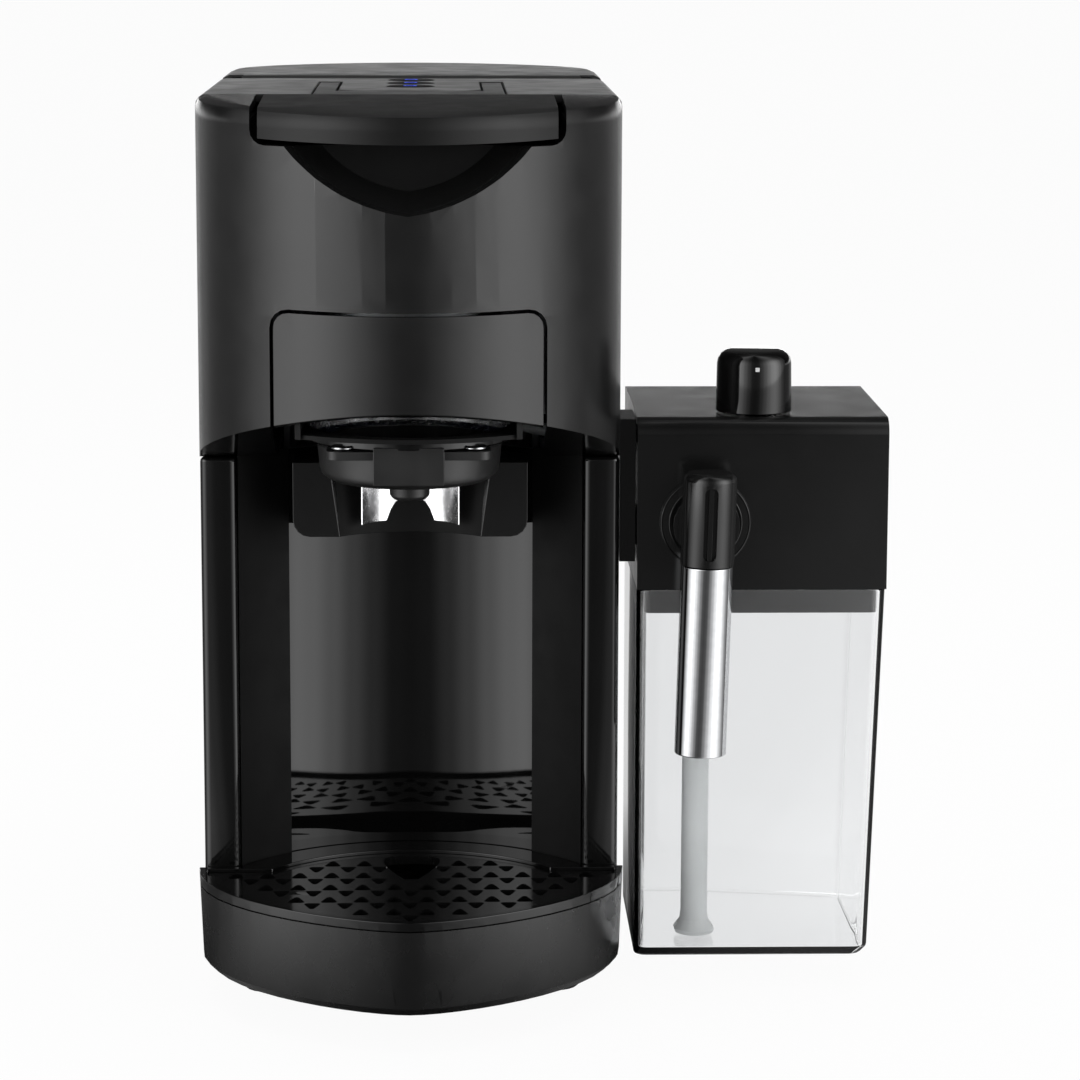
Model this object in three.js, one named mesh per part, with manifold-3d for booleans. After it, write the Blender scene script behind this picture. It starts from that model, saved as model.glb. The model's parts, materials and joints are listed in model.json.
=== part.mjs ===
// Pod coffee machine with a milk carafe on its right flank. Millimetres, +Z up, the front faces -Y.
// Inside this file the machine stands with its middle plane at X = 0, its front corners at Y = 0 and the
// table at Z = 0. The exported group moves it so that the origin lies under the middle of its whole box.
import * as THREE from "three";
import { mergeVertices } from "three/addons/utils/BufferGeometryUtils.js";
import Module from "manifold-3d";

const wasm = await Module();
wasm.setup();

// ------------------------------------------------------------------ driving sizes
// Clearances
const seam = 0.3; // between parts that meet
const slip = 0.6; // round parts that slide or lift out
const swing = 0.8; // round parts that turn

// Body
const bodyWidth = 150;
const noseDepth = 71; // rounded front ahead of the front corners
const flankLength = 197; // straight flanks behind the front corners
const tailDepth = 69; // rounded back behind the flanks
const bodyTop = 326;
const shellWall = 3;
const topRound = 4; // rounding along the top of the flanks
const topDrop = 3; // how far the top falls from the front corners to the nose
const headHeight = 128.5; // from the head's lower edge at the flanks to the body's top
const archRise = 25; // how far that edge rises to the nose
const shoulderShare = 0.57; // how full the nose and tail curves are at the flanks
const flatShare = 0.42; // and at their middle

// Base
const footHeight = 8;
const footRadius = 9;
const footInset = 22.5; // from the flank to a foot's axis
const frontFootY = 5;
const rearFootY = 215;
const panThickness = 3.4;
const panLip = 12; // how far the pan reaches under the tray
const tongueHalf = 40;
const tongueReach = 45;

// Cup bay
const columnWidth = 13;
const columnDepth = 33;
const columnRound = 2.5;
const bayDepth = 34.7; // at the middle of the splash wall
const bayEdgeDepth = 2.6; // where the splash wall meets the columns
const splashWall = 2.5;
const cowlHalf = 42;
const cowlDrop = 29.3; // of its lower edge below the head's lower edge
const cowlHeight = 27;
const cowlRound = 6;
const nicheTopRadius = 38.5;
const nicheBottomRadius = 35.5;

// Lever
const leverHalf = 50.8;
const leverThickness = 10.3;
const leverEndGap = 2.8; // dark groove at each end of the lever
const leverFloorGap = 1.3;
const armInner = 26.5;
const armWidth = 7.2;
const tongueFrontY = 26; // front edge of the panel between the arms
const tongueRound = 9;
const leverHingeY = 85;
const leverHingeDrop = 6.5; // pivot below the body's top
const leverPinRadius = 2.5;
const recessRound = 5;
const scoopHalf = 42;
const scoopFullness = 0.62;
const scoopDepth = 22.4; // below the lever's floor
const scoopReach = 23; // from the nose inwards
const scoopShrink = 0.7; // inner edge of the scoop against its mouth
const scoopWall = 2.2;

// Buttons
const buttonRadius = 8.75;
const buttonThickness = 2.2;
const buttonProud = 0.2;
const buttonTravel = 1.2;
const buttonPitch = 24;
const firstButtonY = 58;
const buttonCount = 3;
const stemRadius = 3;
const guideThickness = 2.3;

// Pod drawer
const drawerHalf = 46;
const drawerRise = 57.9; // of the drawer's front above the head's lower edge
const drawerRound = 5.5;
const drawerGap = 1.2;
const podY = -25;
const rimRise = 15.8; // of the pod rim above the head's lower edge
const rimThickness = 1.5;
const rimInset = 4.5; // of the rim's front edge inside the nose
const barThickness = 2.5;
const barHeight = 15;
const rimMargin = 2.8; // of the rim plate beside the seat
const carriageBack = 38;
const carriageWall = 2;
const runnerReach = 3;
const runnerThickness = 2.2;
const runnerRise = 6; // above the rim
const seatRadius = 36;
const seatThroat = 28.3;
const seatDepth = 5;
const holderInset = 3.7; // of the holder's side inside the seat's rim
const holderRound = 6.5; // rounding along the holder's lower edge
const holderWall = 3.5;
const holderDepth = 19.6; // of the holder's floor below the rim
const holderBlockHalf = 12;
const holderBlockRise = 3; // of the block's lower edge above the holder's bottom
const holderBlockProud = 3.5; // of the block's face ahead of the bowl
const earThickness = 3;
const spoutRadius = 7;
const spoutLength = 7.5;
const podPinRadius = 4.2;
const podPinX = 22.5;
const podPinInset = 8; // of the pins inside the seat's front edge

// Inner frame and brew unit
const railWidth = 5.5;
const railDrop = 3.8; // of a rail's foot below its runner
const railHeight = 10.5;
const railFront = -38;
const railBack = 80;
const cheekWall = 2.4;
const cheekFront = -20;
const webY = 110;
const postFront = 60;
const cheekDrop = 22; // of the cheeks' top edge below the body's top
const headRadius = 32;
const headRise = 14.7; // of the brew head above the pod rim
const brewHeight = 48;
const headPlate = 8;
const pistonRadius = 26;
const pistonGap = 4.7; // above the pod rim at rest
const pistonHeight = 20;
const pistonStem = 4.7;
const stemRise = 14; // of the piston's stem above the brew head

// Drip tray
const trayHalf = 77;
const trayNose = 73;
const trayShoulder = 0.62; // its nose is fuller than the body's
const trayFlat = 0.24;
const trayTop = 46.5;
const trayWall = 2.5;
const trayEdgeZ = 42; // top of the satin shell at the flanks
const trayEdgeRise = 1; // and how far it rises to the nose
const trayDraft = 1.2; // how far the sides fall inwards to the bottom
const trayChamfer = 3;
const trayLip = 2.7;
const trayBand = 12; // raised band in front of the splash wall
const ledgeReach = 6;
const ledgeThickness = 2.7;
const gridThickness = 3;
const gridTop = 45.2;
const holeWidth = 5.7;
const holeDepth = 7.4;
const holePitchX = 11.5;
const holePitchY = 7.8;
const holeMargin = 3.6;
const wellHalf = 11.5; // big hole in the grid
const wellTip = 2.5; // half the width of its front end
const wellFrontY = -13;
const wellBackY = 17.7;
const floatHeight = 12;

// Water tank
const lidSeamY = 138;
const lidHeight = 8;
const lidWall = 3;
const lidChamfer = 3.5;
const tankInset = 4.5;
const tankWall = 2.4;
const tankBottom = 200;
const rimDrop = 9.5; // of the tank's rim below the body's top
const earWidth = 3.6;
const barrelHalf = 66;
const lidPinRadius = 1.5;
const seatPlate = 6.7;
const valveY = 165;
const valveStem = 5.4;
const valveHead = 9;

// Back panel
const pocketHalf = 28;
const pocketBottom = 24;
const pocketHeight = 40;
const pocketDepth = 8;
const pocketRim = 2.5;
const ventCount = 9;
const ventWidth = 3;
const ventPitch = 7;
const ventBottom = 96;
const ventHeight = 34;

// Carafe
const carafeGap = 6.3; // between the flank and the carafe
const carafeWidth = 90;
const carafeDepth = 87;
const carafeFrontY = -2;
const carafeBottom = 12.8;
const carafeShoulder = 149;
const carafeTop = 211;
const carafeWall = 2.4;
const carafeTaper = 0.951; // bottom width over top width; the side at the dock and the front stand upright
const carafeRound = 5;
const lidFrontRound = 6;
const carafeLidWall = 3;
const insertDepth = 9;
const insertWall = 2;
const knobRadius = 13.8;
const knobHeight = 22.5;
const knobFillet = 5;
const knobX = 124.3;
const knobY = 18;
const swivelX = 105.6;
const swivelZ = 173.7;
const collarRadius = 16.4;
const collarBore = 12.5;
const collarProud = 2.2;
const elbowRadius = 9.6;
const elbowFillet = 3;
const elbowGroove = 2.3; // half the width of the groove down its front
const elbowRib = 0.8; // half the width of the rib in it
const elbowTop = 20.7; // above the swivel's axis
const elbowBottom = 12.4; // below it
const elbowFrontY = -27.2;
const sleeveRadius = 9.3;
const sleeveWall = 1.6;
const sleeveLength = 68.5;
const lanceTilt = 1.5; // degrees, resting angle towards the cup
const suctionRadius = 4.9;
const suctionFoot = 7.8;
const suctionX = 104.7;
const suctionY = 18;
const suctionClear = 1.2; // above the carafe's floor

// Dock and steam line
const dockFrontY = 5.5;
const dockWidth = 24;
const dockBottom = 158;
const dockTop = 210;
const lugReach = 5;
const lugHalf = 5.5;
const lugBottom = 163;
const lugHeight = 13;
const steamY = 17.5;
const steamZ = 202.8;
const nozzleRadius = 3.2;
const nozzleReach = 8; // into the carafe's lid
const tubeRadius = 2.5;

// Inner parts
const pumpRadius = 18;
const pumpHalf = 32;
const pumpY = 200;
const pumpZ = 34;
const heaterHalf = 28;
const heaterFrontY = 50;
const heaterRise = 2; // above the foot of the brew head
const heaterHeight = 42;

// ------------------------------------------------------------------ sizes that follow
const half = bodyWidth / 2;
const panBottom = footHeight + seam;
const panTop = panBottom + panThickness;
const floorZ = panTop + seam; // where shells and columns stand
const tailEnd = flankLength + tailDepth;
const bayHalf = half - columnWidth;
const sagitta = bayDepth - bayEdgeDepth;
const bayRadius = (bayHalf * bayHalf + sagitta * sagitta) / (2 * sagitta);
const bayCentreY = bayDepth - bayRadius;
const archFlank = bodyTop - headHeight;
const drawerTop = archFlank + drawerRise;
const rimTop = archFlank + rimRise;
const runnerZ = rimTop + runnerRise;
const carriageHalf = seatRadius + rimMargin;
const podPinReach = seatRadius - podPinInset;
const holderRadius = seatRadius - holderInset;
const holderBottom = rimTop - holderDepth;
const spoutBottom = holderBottom - spoutLength;
const railBottom = runnerZ - railDrop;
const railTop = railBottom + railHeight;
const headBottom = rimTop + headRise;
const headTop = headBottom + brewHeight;
const pistonBottom = rimTop + pistonGap;
const pistonTop = headTop + stemRise;
const cheekTop = bodyTop - cheekDrop;
const cowlBottom = archFlank - cowlDrop;
const cowlTop = cowlBottom + cowlHeight;
const heaterBottom = headBottom + heaterRise;
const heaterTop = heaterBottom + heaterHeight;
const tankRim = bodyTop - rimDrop;
const leverFloor = bodyTop - topDrop - leverThickness - leverFloorGap;
const leverHingeZ = bodyTop - leverHingeDrop;
const armOuter = armInner + armWidth;
const armEnd = leverHingeY + leverHingeDrop;
const lidBottom = bodyTop - lidHeight;
const lidHingeRadius = lidHeight / 2;
const lidHingeY = lidSeamY + seam + lidHingeRadius;
const lidHingeZ = bodyTop - lidHingeRadius;
const frameHalf = carriageHalf + slip + railWidth; // outer face of the rails
const trayBottom = panTop + 1;
const carafeLeft = half + carafeGap;
const lanceY = elbowFrontY + elbowRadius;
const elbowBackY = lanceY + elbowRadius;

const outlineSteps = 13; // pieces of each long curve in an outline
const cornerSteps = 2; // a quarter circle at a corner gets twice as many
const roundSides = 24;
const smallSides = 12;
const far = 400; // longer than anything that it has to cut

// ------------------------------------------------------------------ solids from three.js geometry
// A closed geometry becomes a manifold-3d solid, turned right way out if its profile was drawn backwards.
function solidOf(geometry) {
  const bare = geometry.index ? geometry.toNonIndexed() : geometry;
  for (const name of Object.keys(bare.attributes)) {
    if (name !== "position") bare.deleteAttribute(name);
  }
  const merged = mergeVertices(bare, 1e-4);
  const triVerts = new Uint32Array(merged.index.array);
  const mesh = new wasm.Mesh({ numProp: 3, vertProperties: merged.attributes.position.array, triVerts });
  return new wasm.Manifold(mesh);
}

function geometryOf(solid) {
  const mesh = solid.getMesh();
  const geometry = new THREE.BufferGeometry();
  geometry.setAttribute("position", new THREE.BufferAttribute(mesh.vertProperties, 3));
  geometry.setIndex(new THREE.BufferAttribute(mesh.triVerts, 1));
  geometry.computeVertexNormals();
  return geometry;
}

function join(...solids) {
  return solids.reduce((all, next) => all.add(next));
}

function cut(solid, ...tools) {
  return tools.reduce((left, tool) => left.subtract(tool), solid);
}

function both(solid, ...others) {
  return others.reduce((left, other) => left.intersect(other), solid);
}

function box([x0, x1], [y0, y1], [z0, z1]) {
  const geometry = new THREE.BoxGeometry(x1 - x0, y1 - y0, z1 - z0);
  return solidOf(geometry.translate((x0 + x1) / 2, (y0 + y1) / 2, (z0 + z1) / 2));
}

// A shape's outline as straight pieces, so that each outline has its own fineness.
function drawn(shape, steps) {
  return new THREE.Shape(shape.getPoints(steps));
}

function extruded(shape, depth) {
  return new THREE.ExtrudeGeometry(shape, { depth, bevelEnabled: false });
}

// A shape drawn in X and Y, standing from z0 to z1.
function upright(shape, z0, z1) {
  return solidOf(extruded(shape, z1 - z0).translate(0, 0, z0));
}

// A shape drawn in X and Z, as seen from the front, running from y0 to y1.
function frontal(shape, y0, y1) {
  return solidOf(extruded(shape, y1 - y0).rotateX(Math.PI / 2).translate(0, y1, 0));
}

// A shape drawn in Y and Z, as seen from the right flank, running from x0 to x1.
function sidelong(shape, x0, x1) {
  const turn = new THREE.Matrix4().set(0, 0, 1, x0, 1, 0, 0, 0, 0, 1, 0, 0, 0, 0, 0, 1);
  return solidOf(extruded(shape, x1 - x0).applyMatrix4(turn));
}

// A shape drawn in X and Y, lifted through levels that each give a height, a scale of the outline and, where
// the level isn't flat, how far it leans per millimetre of Y.
function lofted(shape, levels) {
  const steps = levels.length - 1;
  const settings = { depth: steps, steps, bevelEnabled: false };
  const geometry = new THREE.ExtrudeGeometry(shape, settings);
  const at = geometry.attributes.position;
  for (let i = 0; i < at.count; i += 1) {
    const level = levels[Math.round(at.getZ(i))];
    const lean = (level.lean ?? 0) * at.getY(i);
    at.setXYZ(i, at.getX(i) * level.x, at.getY(i) * level.y, level.z + lean);
  }
  return solidOf(geometry);
}

// A profile of [radius, height] points from the bottom to the top, turned about the Z axis.
function turned(profile, sides = roundSides) {
  const points = profile.map(([radius, height]) => new THREE.Vector2(radius, height));
  return solidOf(new THREE.LatheGeometry(points, sides).rotateX(Math.PI / 2));
}

function rod(radius, z0, z1, sides = roundSides) {
  return turned([[0, z0], [radius, z0], [radius, z1], [0, z1]], sides);
}

function ring(outer, inner, z0, z1, sides = roundSides) {
  return turned([[inner, z0], [outer, z0], [outer, z1], [inner, z1], [inner, z0]], sides);
}

// Turns a solid made about Z so that it lies along X or Y.
function alongX(solid) {
  return solid.rotate([0, 90, 0]);
}

function alongY(solid) {
  return solid.rotate([-90, 0, 0]);
}

function polygon(points) {
  return new THREE.Shape(points.map(([u, v]) => new THREE.Vector2(u, v)));
}

function roundedRectangle(u0, u1, v0, v1, radius) {
  const shape = new THREE.Shape();
  shape.moveTo(u0 + radius, v0);
  shape.lineTo(u1 - radius, v0);
  shape.absarc(u1 - radius, v0 + radius, radius, -Math.PI / 2, 0);
  shape.lineTo(u1, v1 - radius);
  shape.absarc(u1 - radius, v1 - radius, radius, 0, Math.PI / 2);
  shape.lineTo(u0 + radius, v1);
  shape.absarc(u0 + radius, v1 - radius, radius, Math.PI / 2, Math.PI);
  shape.lineTo(u0, v0 + radius);
  shape.absarc(u0 + radius, v0 + radius, radius, Math.PI, Math.PI * 1.5);
  return drawn(shape, cornerSteps);
}

// A bent round tube: straight runs between the points, with a curve at each bend.
function tube(radius, bend, corners, steps = 24) {
  const points = corners.map((corner) => new THREE.Vector3(...corner));
  const path = new THREE.CurvePath();
  let from = points[0];
  for (let i = 1; i < points.length - 1; i += 1) {
    const before = points[i].clone().sub(points[i - 1]).setLength(bend);
    const after = points[i + 1].clone().sub(points[i]).setLength(bend);
    const enter = points[i].clone().sub(before);
    const leave = points[i].clone().add(after);
    path.add(new THREE.LineCurve3(from, enter));
    path.add(new THREE.QuadraticBezierCurve3(enter, points[i], leave));
    from = leave;
  }
  path.add(new THREE.LineCurve3(from, points[points.length - 1]));
  const section = new THREE.Shape();
  section.absarc(0, 0, radius, 0, Math.PI * 2);
  const settings = { extrudePath: path, steps, bevelEnabled: false };
  return solidOf(new THREE.ExtrudeGeometry(drawn(section, 4), settings));
}

// ------------------------------------------------------------------ outlines that parts share
const bodyNose = { half, depth: noseDepth, shoulder: shoulderShare, flat: flatShare };
const trayShape = { half: trayHalf, depth: trayNose, shoulder: trayShoulder, flat: trayFlat };

// The rounded front of the machine, from backY forwards, drawn inset inside its skin.
function nosePlan(inset, backY, nose = bodyNose) {
  const w = nose.half - inset;
  const d = nose.depth - inset;
  const shape = new THREE.Shape();
  shape.moveTo(w, 0);
  if (backY > 0) {
    shape.lineTo(w, backY);
    shape.lineTo(-w, backY);
  }
  shape.lineTo(-w, 0);
  shape.bezierCurveTo(-w, -nose.shoulder * d, -nose.flat * w, -d, 0, -d);
  shape.bezierCurveTo(nose.flat * w, -d, w, -nose.shoulder * d, w, 0);
  return drawn(shape, outlineSteps);
}

// Where the nose's skin lies in Y at a distance x from the middle plane.
function noseFront(x, inset, nose = bodyNose) {
  const w = nose.half - inset;
  const d = nose.depth - inset;
  const curve = new THREE.CubicBezierCurve(new THREE.Vector2(0, -d), new THREE.Vector2(nose.flat * w, -d),
    new THREE.Vector2(w, -nose.shoulder * d), new THREE.Vector2(w, 0));
  let low = 0;
  let high = 1;
  for (let i = 0; i < 20; i += 1) {
    const half = (low + high) / 2;
    if (curve.getPoint(half).x < Math.abs(x)) low = half;
    else high = half;
  }
  return curve.getPoint(low).y;
}

// The rounded back of the machine, from frontY backwards, drawn inset inside its skin.
function tailPlan(inset, frontY) {
  const w = half - inset;
  const end = tailEnd - inset;
  const shoulder = flankLength + shoulderShare * (tailDepth - inset);
  const shape = new THREE.Shape();
  shape.moveTo(-w, frontY);
  shape.lineTo(w, frontY);
  shape.lineTo(w, flankLength);
  shape.bezierCurveTo(w, shoulder, flatShare * w, end, 0, end);
  shape.bezierCurveTo(-flatShare * w, end, -w, shoulder, -w, flankLength);
  return drawn(shape, outlineSteps);
}

function archZ(y) {
  return archFlank - (archRise * Math.min(y, 0)) / noseDepth;
}

function topZ(y) {
  return bodyTop + (topDrop * Math.min(y, 0)) / noseDepth;
}

// Everything in front of y1 between two heights that lean as the arch or the top does.
function leaning(lowAt, highAt, y1 = 0) {
  const front = -noseDepth - 10;
  return sidelong(polygon([[front, lowAt(front)], [y1, lowAt(y1)], [y1, highAt(y1)], [front, highAt(front)]]),
    -far, far);
}

function baySector(radius, y0, z0, z1, halfSpan) {
  const disc = rod(radius, z0, z1, 96).translate([0, bayCentreY, 0]);
  return both(disc, box([-halfSpan, halfSpan], [y0, far], [z0, z1]));
}

// The pod drawer's doorway seen from the front, grown by a margin.
function doorway(margin) {
  const side = drawerHalf + margin;
  return roundedRectangle(-side, side, archFlank - 40, drawerTop + margin, drawerRound + margin);
}

// ------------------------------------------------------------------ materials
function finish(color, roughness, metalness = 0) {
  return new THREE.MeshStandardMaterial({ color, roughness, metalness });
}

const satinBlack = finish(0x161617, 0.42);
const satinTop = finish(0x232324, 0.5);
const glossBlack = finish(0x070708, 0.08);
const darkPlastic = finish(0x1c1c1e, 0.6);
const rubber = finish(0x141414, 0.85);
const chrome = finish(0xe4e4e6, 0.06, 1);
const steel = finish(0x9b9da0, 0.35, 1);
const aluminium = finish(0xb4b6b8, 0.4, 1);
const clear = finish(0xe6ebee, 0.05);
const smoke = finish(0x4a4f55, 0.1);
const milkyPlastic = finish(0xd9dcdd, 0.3);
const blueGlow = finish(0x2b5cff, 0.3);
const circuitGreen = finish(0x1d5b33, 0.5);

const machine = new THREE.Group();

function add(name, solid, material, group = machine) {
  const mesh = new THREE.Mesh(geometryOf(solid), material);
  mesh.name = name;
  group.add(mesh);
  return mesh;
}

// ------------------------------------------------------------------ base and feet
function basePan() {
  const floor = upright(tailPlan(0, 0), panBottom, panTop);
  const lipHalf = half - footInset + footRadius + 2;
  const lip = box([-lipHalf, lipHalf], [-panLip, 1], [panBottom, panTop]);
  const tongue = box([-tongueHalf, tongueHalf], [-tongueReach, 1], [panBottom, panTop + 0.7]);
  return join(floor, lip, tongue);
}

function foot(x, y) {
  const profile = [[0, 0], [footRadius - 0.6, 0], [footRadius, 0.8], [footRadius, footHeight], [0, footHeight]];
  return turned(profile, 20).translate([x, y, 0]);
}

function addBase() {
  add("base_pan", basePan(), satinBlack);
  const footX = half - footInset;
  const rearFootX = footX - 8;
  add("foot_front_left", foot(-footX, frontFootY), rubber);
  add("foot_front_right", foot(footX, frontFootY), rubber);
  add("foot_rear_left", foot(-rearFootX, rearFootY), rubber);
  add("foot_rear_right", foot(rearFootX, rearFootY), rubber);
}

// ------------------------------------------------------------------ casing
// Top and both flanks in one piece: an upturned U that starts at the front corners.
function bodyShell() {
  const back = lidSeamY - seam;
  const outer = frontal(archedSection(0), seam, back);
  const inner = frontal(archedSection(shellWall), 0, back + 1);
  const columnNotch = box([-far, far], [0, columnDepth + seam], [0, archFlank]);
  const steamHole = alongX(rod(nozzleRadius + slip, 0, far, smallSides)).translate([0, steamY, steamZ]);
  return cut(outer, inner, columnNotch, leverSlot(), buttonHoles(), steamHole);
}

function archedSection(inset) {
  const w = half - inset;
  const top = bodyTop - inset;
  const radius = Math.max(topRound - inset, 1);
  const shape = new THREE.Shape();
  shape.moveTo(-w, floorZ - (inset > 0 ? 1 : 0));
  shape.lineTo(w, floorZ - (inset > 0 ? 1 : 0));
  shape.lineTo(w, top - radius);
  shape.absarc(w - radius, top - radius, radius, 0, Math.PI / 2);
  shape.lineTo(-w + radius, top);
  shape.absarc(-w + radius, top - radius, radius, Math.PI / 2, Math.PI);
  return drawn(shape, cornerSteps);
}

// Opening in the top for the lever's arms, with the tongue that carries the buttons left standing.
function leverSlot() {
  const side = armOuter + swing;
  const slot = box([-side, side], [-1, armEnd + swing], [bodyTop - shellWall - 1, bodyTop + 1]);
  const tongueHalfWidth = armInner - swing;
  const tongue = upright(
    roundedRectangle(-tongueHalfWidth, tongueHalfWidth, tongueFrontY, armEnd + tongueRound * 2, tongueRound),
    bodyTop - shellWall - 2, bodyTop + 2);
  return cut(slot, tongue);
}

function buttonY(index) {
  return firstButtonY + index * buttonPitch;
}

function buttonHoles() {
  const holes = [];
  for (let i = 0; i < buttonCount; i += 1) {
    holes.push(rod(buttonRadius + seam, bodyTop - shellWall - 1, bodyTop + 1).translate([0, buttonY(i), 0]));
  }
  return join(...holes);
}

// Rounded head in front of the corners: open behind and below, with the lever's recess, the mouth of the
// finger scoop and the drawer's doorway cut through it.
function frontHousing() {
  const skin = noseSkin();
  const recess = frontal(recessOutline(0, far), -far, 1);
  const door = frontal(doorway(drawerGap), -far, -1);
  const shaped = cut(skin, recess, scoop(0), door);
  return join(shaped, underside(1), underside(-1));
}

// The solid nose with a rounded top edge that falls a little to the front.
function noseBlock() {
  const lean = topDrop / noseDepth;
  const level = (drop, inset) => ({ z: bodyTop - drop, x: (half - inset) / half,
    y: (noseDepth - inset) / noseDepth, lean });
  const levels = [{ z: archFlank - 1, x: 1, y: 1 }, level(topRound, 0), level(topRound * 0.3, topRound * 0.3),
    level(0, topRound)];
  return lofted(nosePlan(0, 0), levels);
}

// The nose's skin, closed on top, between the arch and the top.
function noseSkin() {
  const solid = both(noseBlock(), leaning(archZ, () => bodyTop + 1));
  const room = both(
    upright(nosePlan(shellWall, 2), archFlank - 2, bodyTop),
    leaning((y) => archZ(y) - 9, (y) => topZ(y) - shellWall, 2));
  return cut(solid, room);
}

// Finger scoop under the lever: its mouth is a rounded V on the nose's skin, and it narrows inwards to a
// flat back. A wall thickness grows it, for the liner around it.
function scoop(wall) {
  const side = scoopHalf + wall;
  const apex = -scoopDepth - wall;
  const mouth = new THREE.Shape();
  mouth.moveTo(side, 0.4);
  for (let i = 1; i < outlineSteps; i += 1) {
    mouth.lineTo(side * (1 - (2 * i) / outlineSteps), 0.4);
  }
  mouth.lineTo(-side, 0.4);
  mouth.quadraticCurveTo(-side * scoopFullness, apex * 0.84, 0, apex);
  mouth.quadraticCurveTo(side * scoopFullness, apex * 0.84, side, 0.4);
  const geometry = new THREE.ExtrudeGeometry(drawn(mouth, outlineSteps), { depth: 2, steps: 2, bevelEnabled: false });
  const at = geometry.attributes.position;
  for (let i = 0; i < at.count; i += 1) {
    const [x, z] = [at.getX(i), at.getY(i)];
    const inner = at.getZ(i) > 1.5;
    const y = inner ? scoopReach - noseDepth + wall : noseFront(x, 0) - 30 * (1 - at.getZ(i));
    const share = inner ? scoopShrink : 1;
    at.setXYZ(i, -x * share, y, leverFloor + (z > 0 ? z : z * share));
  }
  return solidOf(geometry);
}

// The lever's recess seen from the front, grown by a margin.
function recessOutline(margin, top) {
  const side = leverHalf + leverEndGap + margin;
  return roundedRectangle(-side, side, leverFloor - margin, top, recessRound + margin);
}

// Gloss liner: the floor under the lever, low walls at its ends and the scoop itself.
function fingerScoopLiner() {
  const top = bodyTop - shellWall - topDrop - seam;
  const inside = upright(nosePlan(shellWall + seam, 0), leverFloor - far, top);
  const trough = cut(frontal(recessOutline(scoopWall, far), -noseDepth, -seam), frontal(recessOutline(0, far), -far, 1));
  const bowl = both(scoop(scoopWall), box([-far, far], [-far, -seam], [0, leverFloor - 0.2]));
  return cut(both(join(trough, bowl), inside), scoop(0));
}

// Wing that closes the head from below beside the drawer and over the column.
function underside(side) {
  const thickness = 2.5;
  const front = -noseDepth;
  const back = columnDepth;
  const profile = polygon([
    [front, archZ(front)], [0, archFlank], [back, archFlank], [back, archFlank + thickness],
    [0, archFlank + thickness], [front, archZ(front) + thickness],
  ]);
  const inner = drawerHalf + drawerGap;
  const outer = half - shellWall - seam;
  const strip = sidelong(profile, side > 0 ? inner : -outer, side > 0 ? outer : -inner);
  return both(strip, upright(nosePlan(1, back + 1), archFlank - 5, far));
}

function column(side) {
  const x0 = side > 0 ? bayHalf : -half;
  const plan = roundedRectangle(x0, x0 + columnWidth, 0, columnDepth, columnRound);
  return upright(plan, floorZ, archFlank - seam);
}

function splashPanel() {
  const span = bayHalf - seam;
  const front = baySector(bayRadius, 0, floorZ, archFlank - seam, span);
  const back = baySector(bayRadius + splashWall, 0, floorZ, archFlank - seam, span);
  return cut(back, front);
}

// Box behind the spout with a cone-shaped niche in its face.
function cowl() {
  const face = roundedRectangle(-cowlHalf, cowlHalf, cowlBottom, cowlTop + cowlRound, cowlRound);
  const block = both(frontal(face, 0, bayDepth), baySector(bayRadius - seam, -1, cowlBottom, cowlTop, cowlHalf));
  const niche = turned([[0, cowlBottom - 1], [nicheBottomRadius, cowlBottom - 1], [nicheTopRadius, cowlTop + 1],
    [0, cowlTop + 1]], 48).translate([0, podY, 0]);
  return cut(block, niche);
}

function pocketRange(inset) {
  return [pocketBottom + inset, pocketBottom + pocketHeight - inset];
}

function rearShell() {
  const outer = upright(tailPlan(0, lidSeamY + seam), floorZ, lidBottom - seam);
  const inner = upright(tailPlan(shellWall, lidSeamY + seam + shellWall), floorZ - 1, lidBottom);
  const opening = box([-pocketHalf - seam, pocketHalf + seam], [flankLength, far], pocketRange(-seam));
  const vents = [];
  for (let i = 0; i < ventCount; i += 1) {
    const x = (i - (ventCount - 1) / 2) * ventPitch;
    vents.push(box([x - ventWidth / 2, x + ventWidth / 2], [flankLength, far], [ventBottom, ventBottom + ventHeight]));
  }
  return cut(outer, inner, opening, pressureHole(), ...vents);
}

// Shallow pocket let into the back, whose rim follows the rounded skin.
function servicePanel() {
  const floorY = tailEnd - shellWall - pocketDepth;
  const block = both(
    box([-pocketHalf, pocketHalf], [floorY - pocketRim, far], pocketRange(0)), upright(tailPlan(0, 0), 0, far));
  const room = box([-pocketHalf + pocketRim, pocketHalf - pocketRim], [floorY, far], pocketRange(pocketRim));
  return cut(block, room);
}

function addCasing() {
  add("body_shell", bodyShell(), satinTop);
  add("front_housing", frontHousing(), satinBlack);
  add("finger_scoop", fingerScoopLiner(), glossBlack);
  add("column_left", column(-1), glossBlack);
  add("column_right", column(1), glossBlack);
  add("splash_wall", splashPanel(), glossBlack);
  add("spout_cowl", cowl(), glossBlack);
  add("rear_shell", rearShell(), satinBlack);
  add("service_panel", servicePanel(), satinBlack);
}

// ------------------------------------------------------------------ back panel fittings
function powerModule() {
  const y0 = tailEnd - shellWall - pocketDepth + seam;
  const middleZ = pocketBottom + pocketHeight / 2;
  const shell = roundedRectangle(-22, 4, middleZ - 10, middleZ + 10, 3);
  const mouth = roundedRectangle(-19.5, 1.5, middleZ - 7.5, middleZ + 7.5, 2);
  const housing = cut(frontal(shell, y0, y0 + 7), frontal(mouth, y0 + 1.5, y0 + 8));
  const contact = (x, z) => box([x - 1, x + 1], [y0 + 1, y0 + 5.5], [z - 2, z + 2]);
  const contacts = join(contact(-14, middleZ - 1.5), contact(-9, middleZ + 2), contact(-4, middleZ - 1.5));
  const bridge = box([3, rockerX - rockerHalfWidth - 1], [y0, y0 + 2], [middleZ - 8, middleZ + 8]);
  return join(housing, contacts, bridge, rockerFrame());
}

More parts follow.
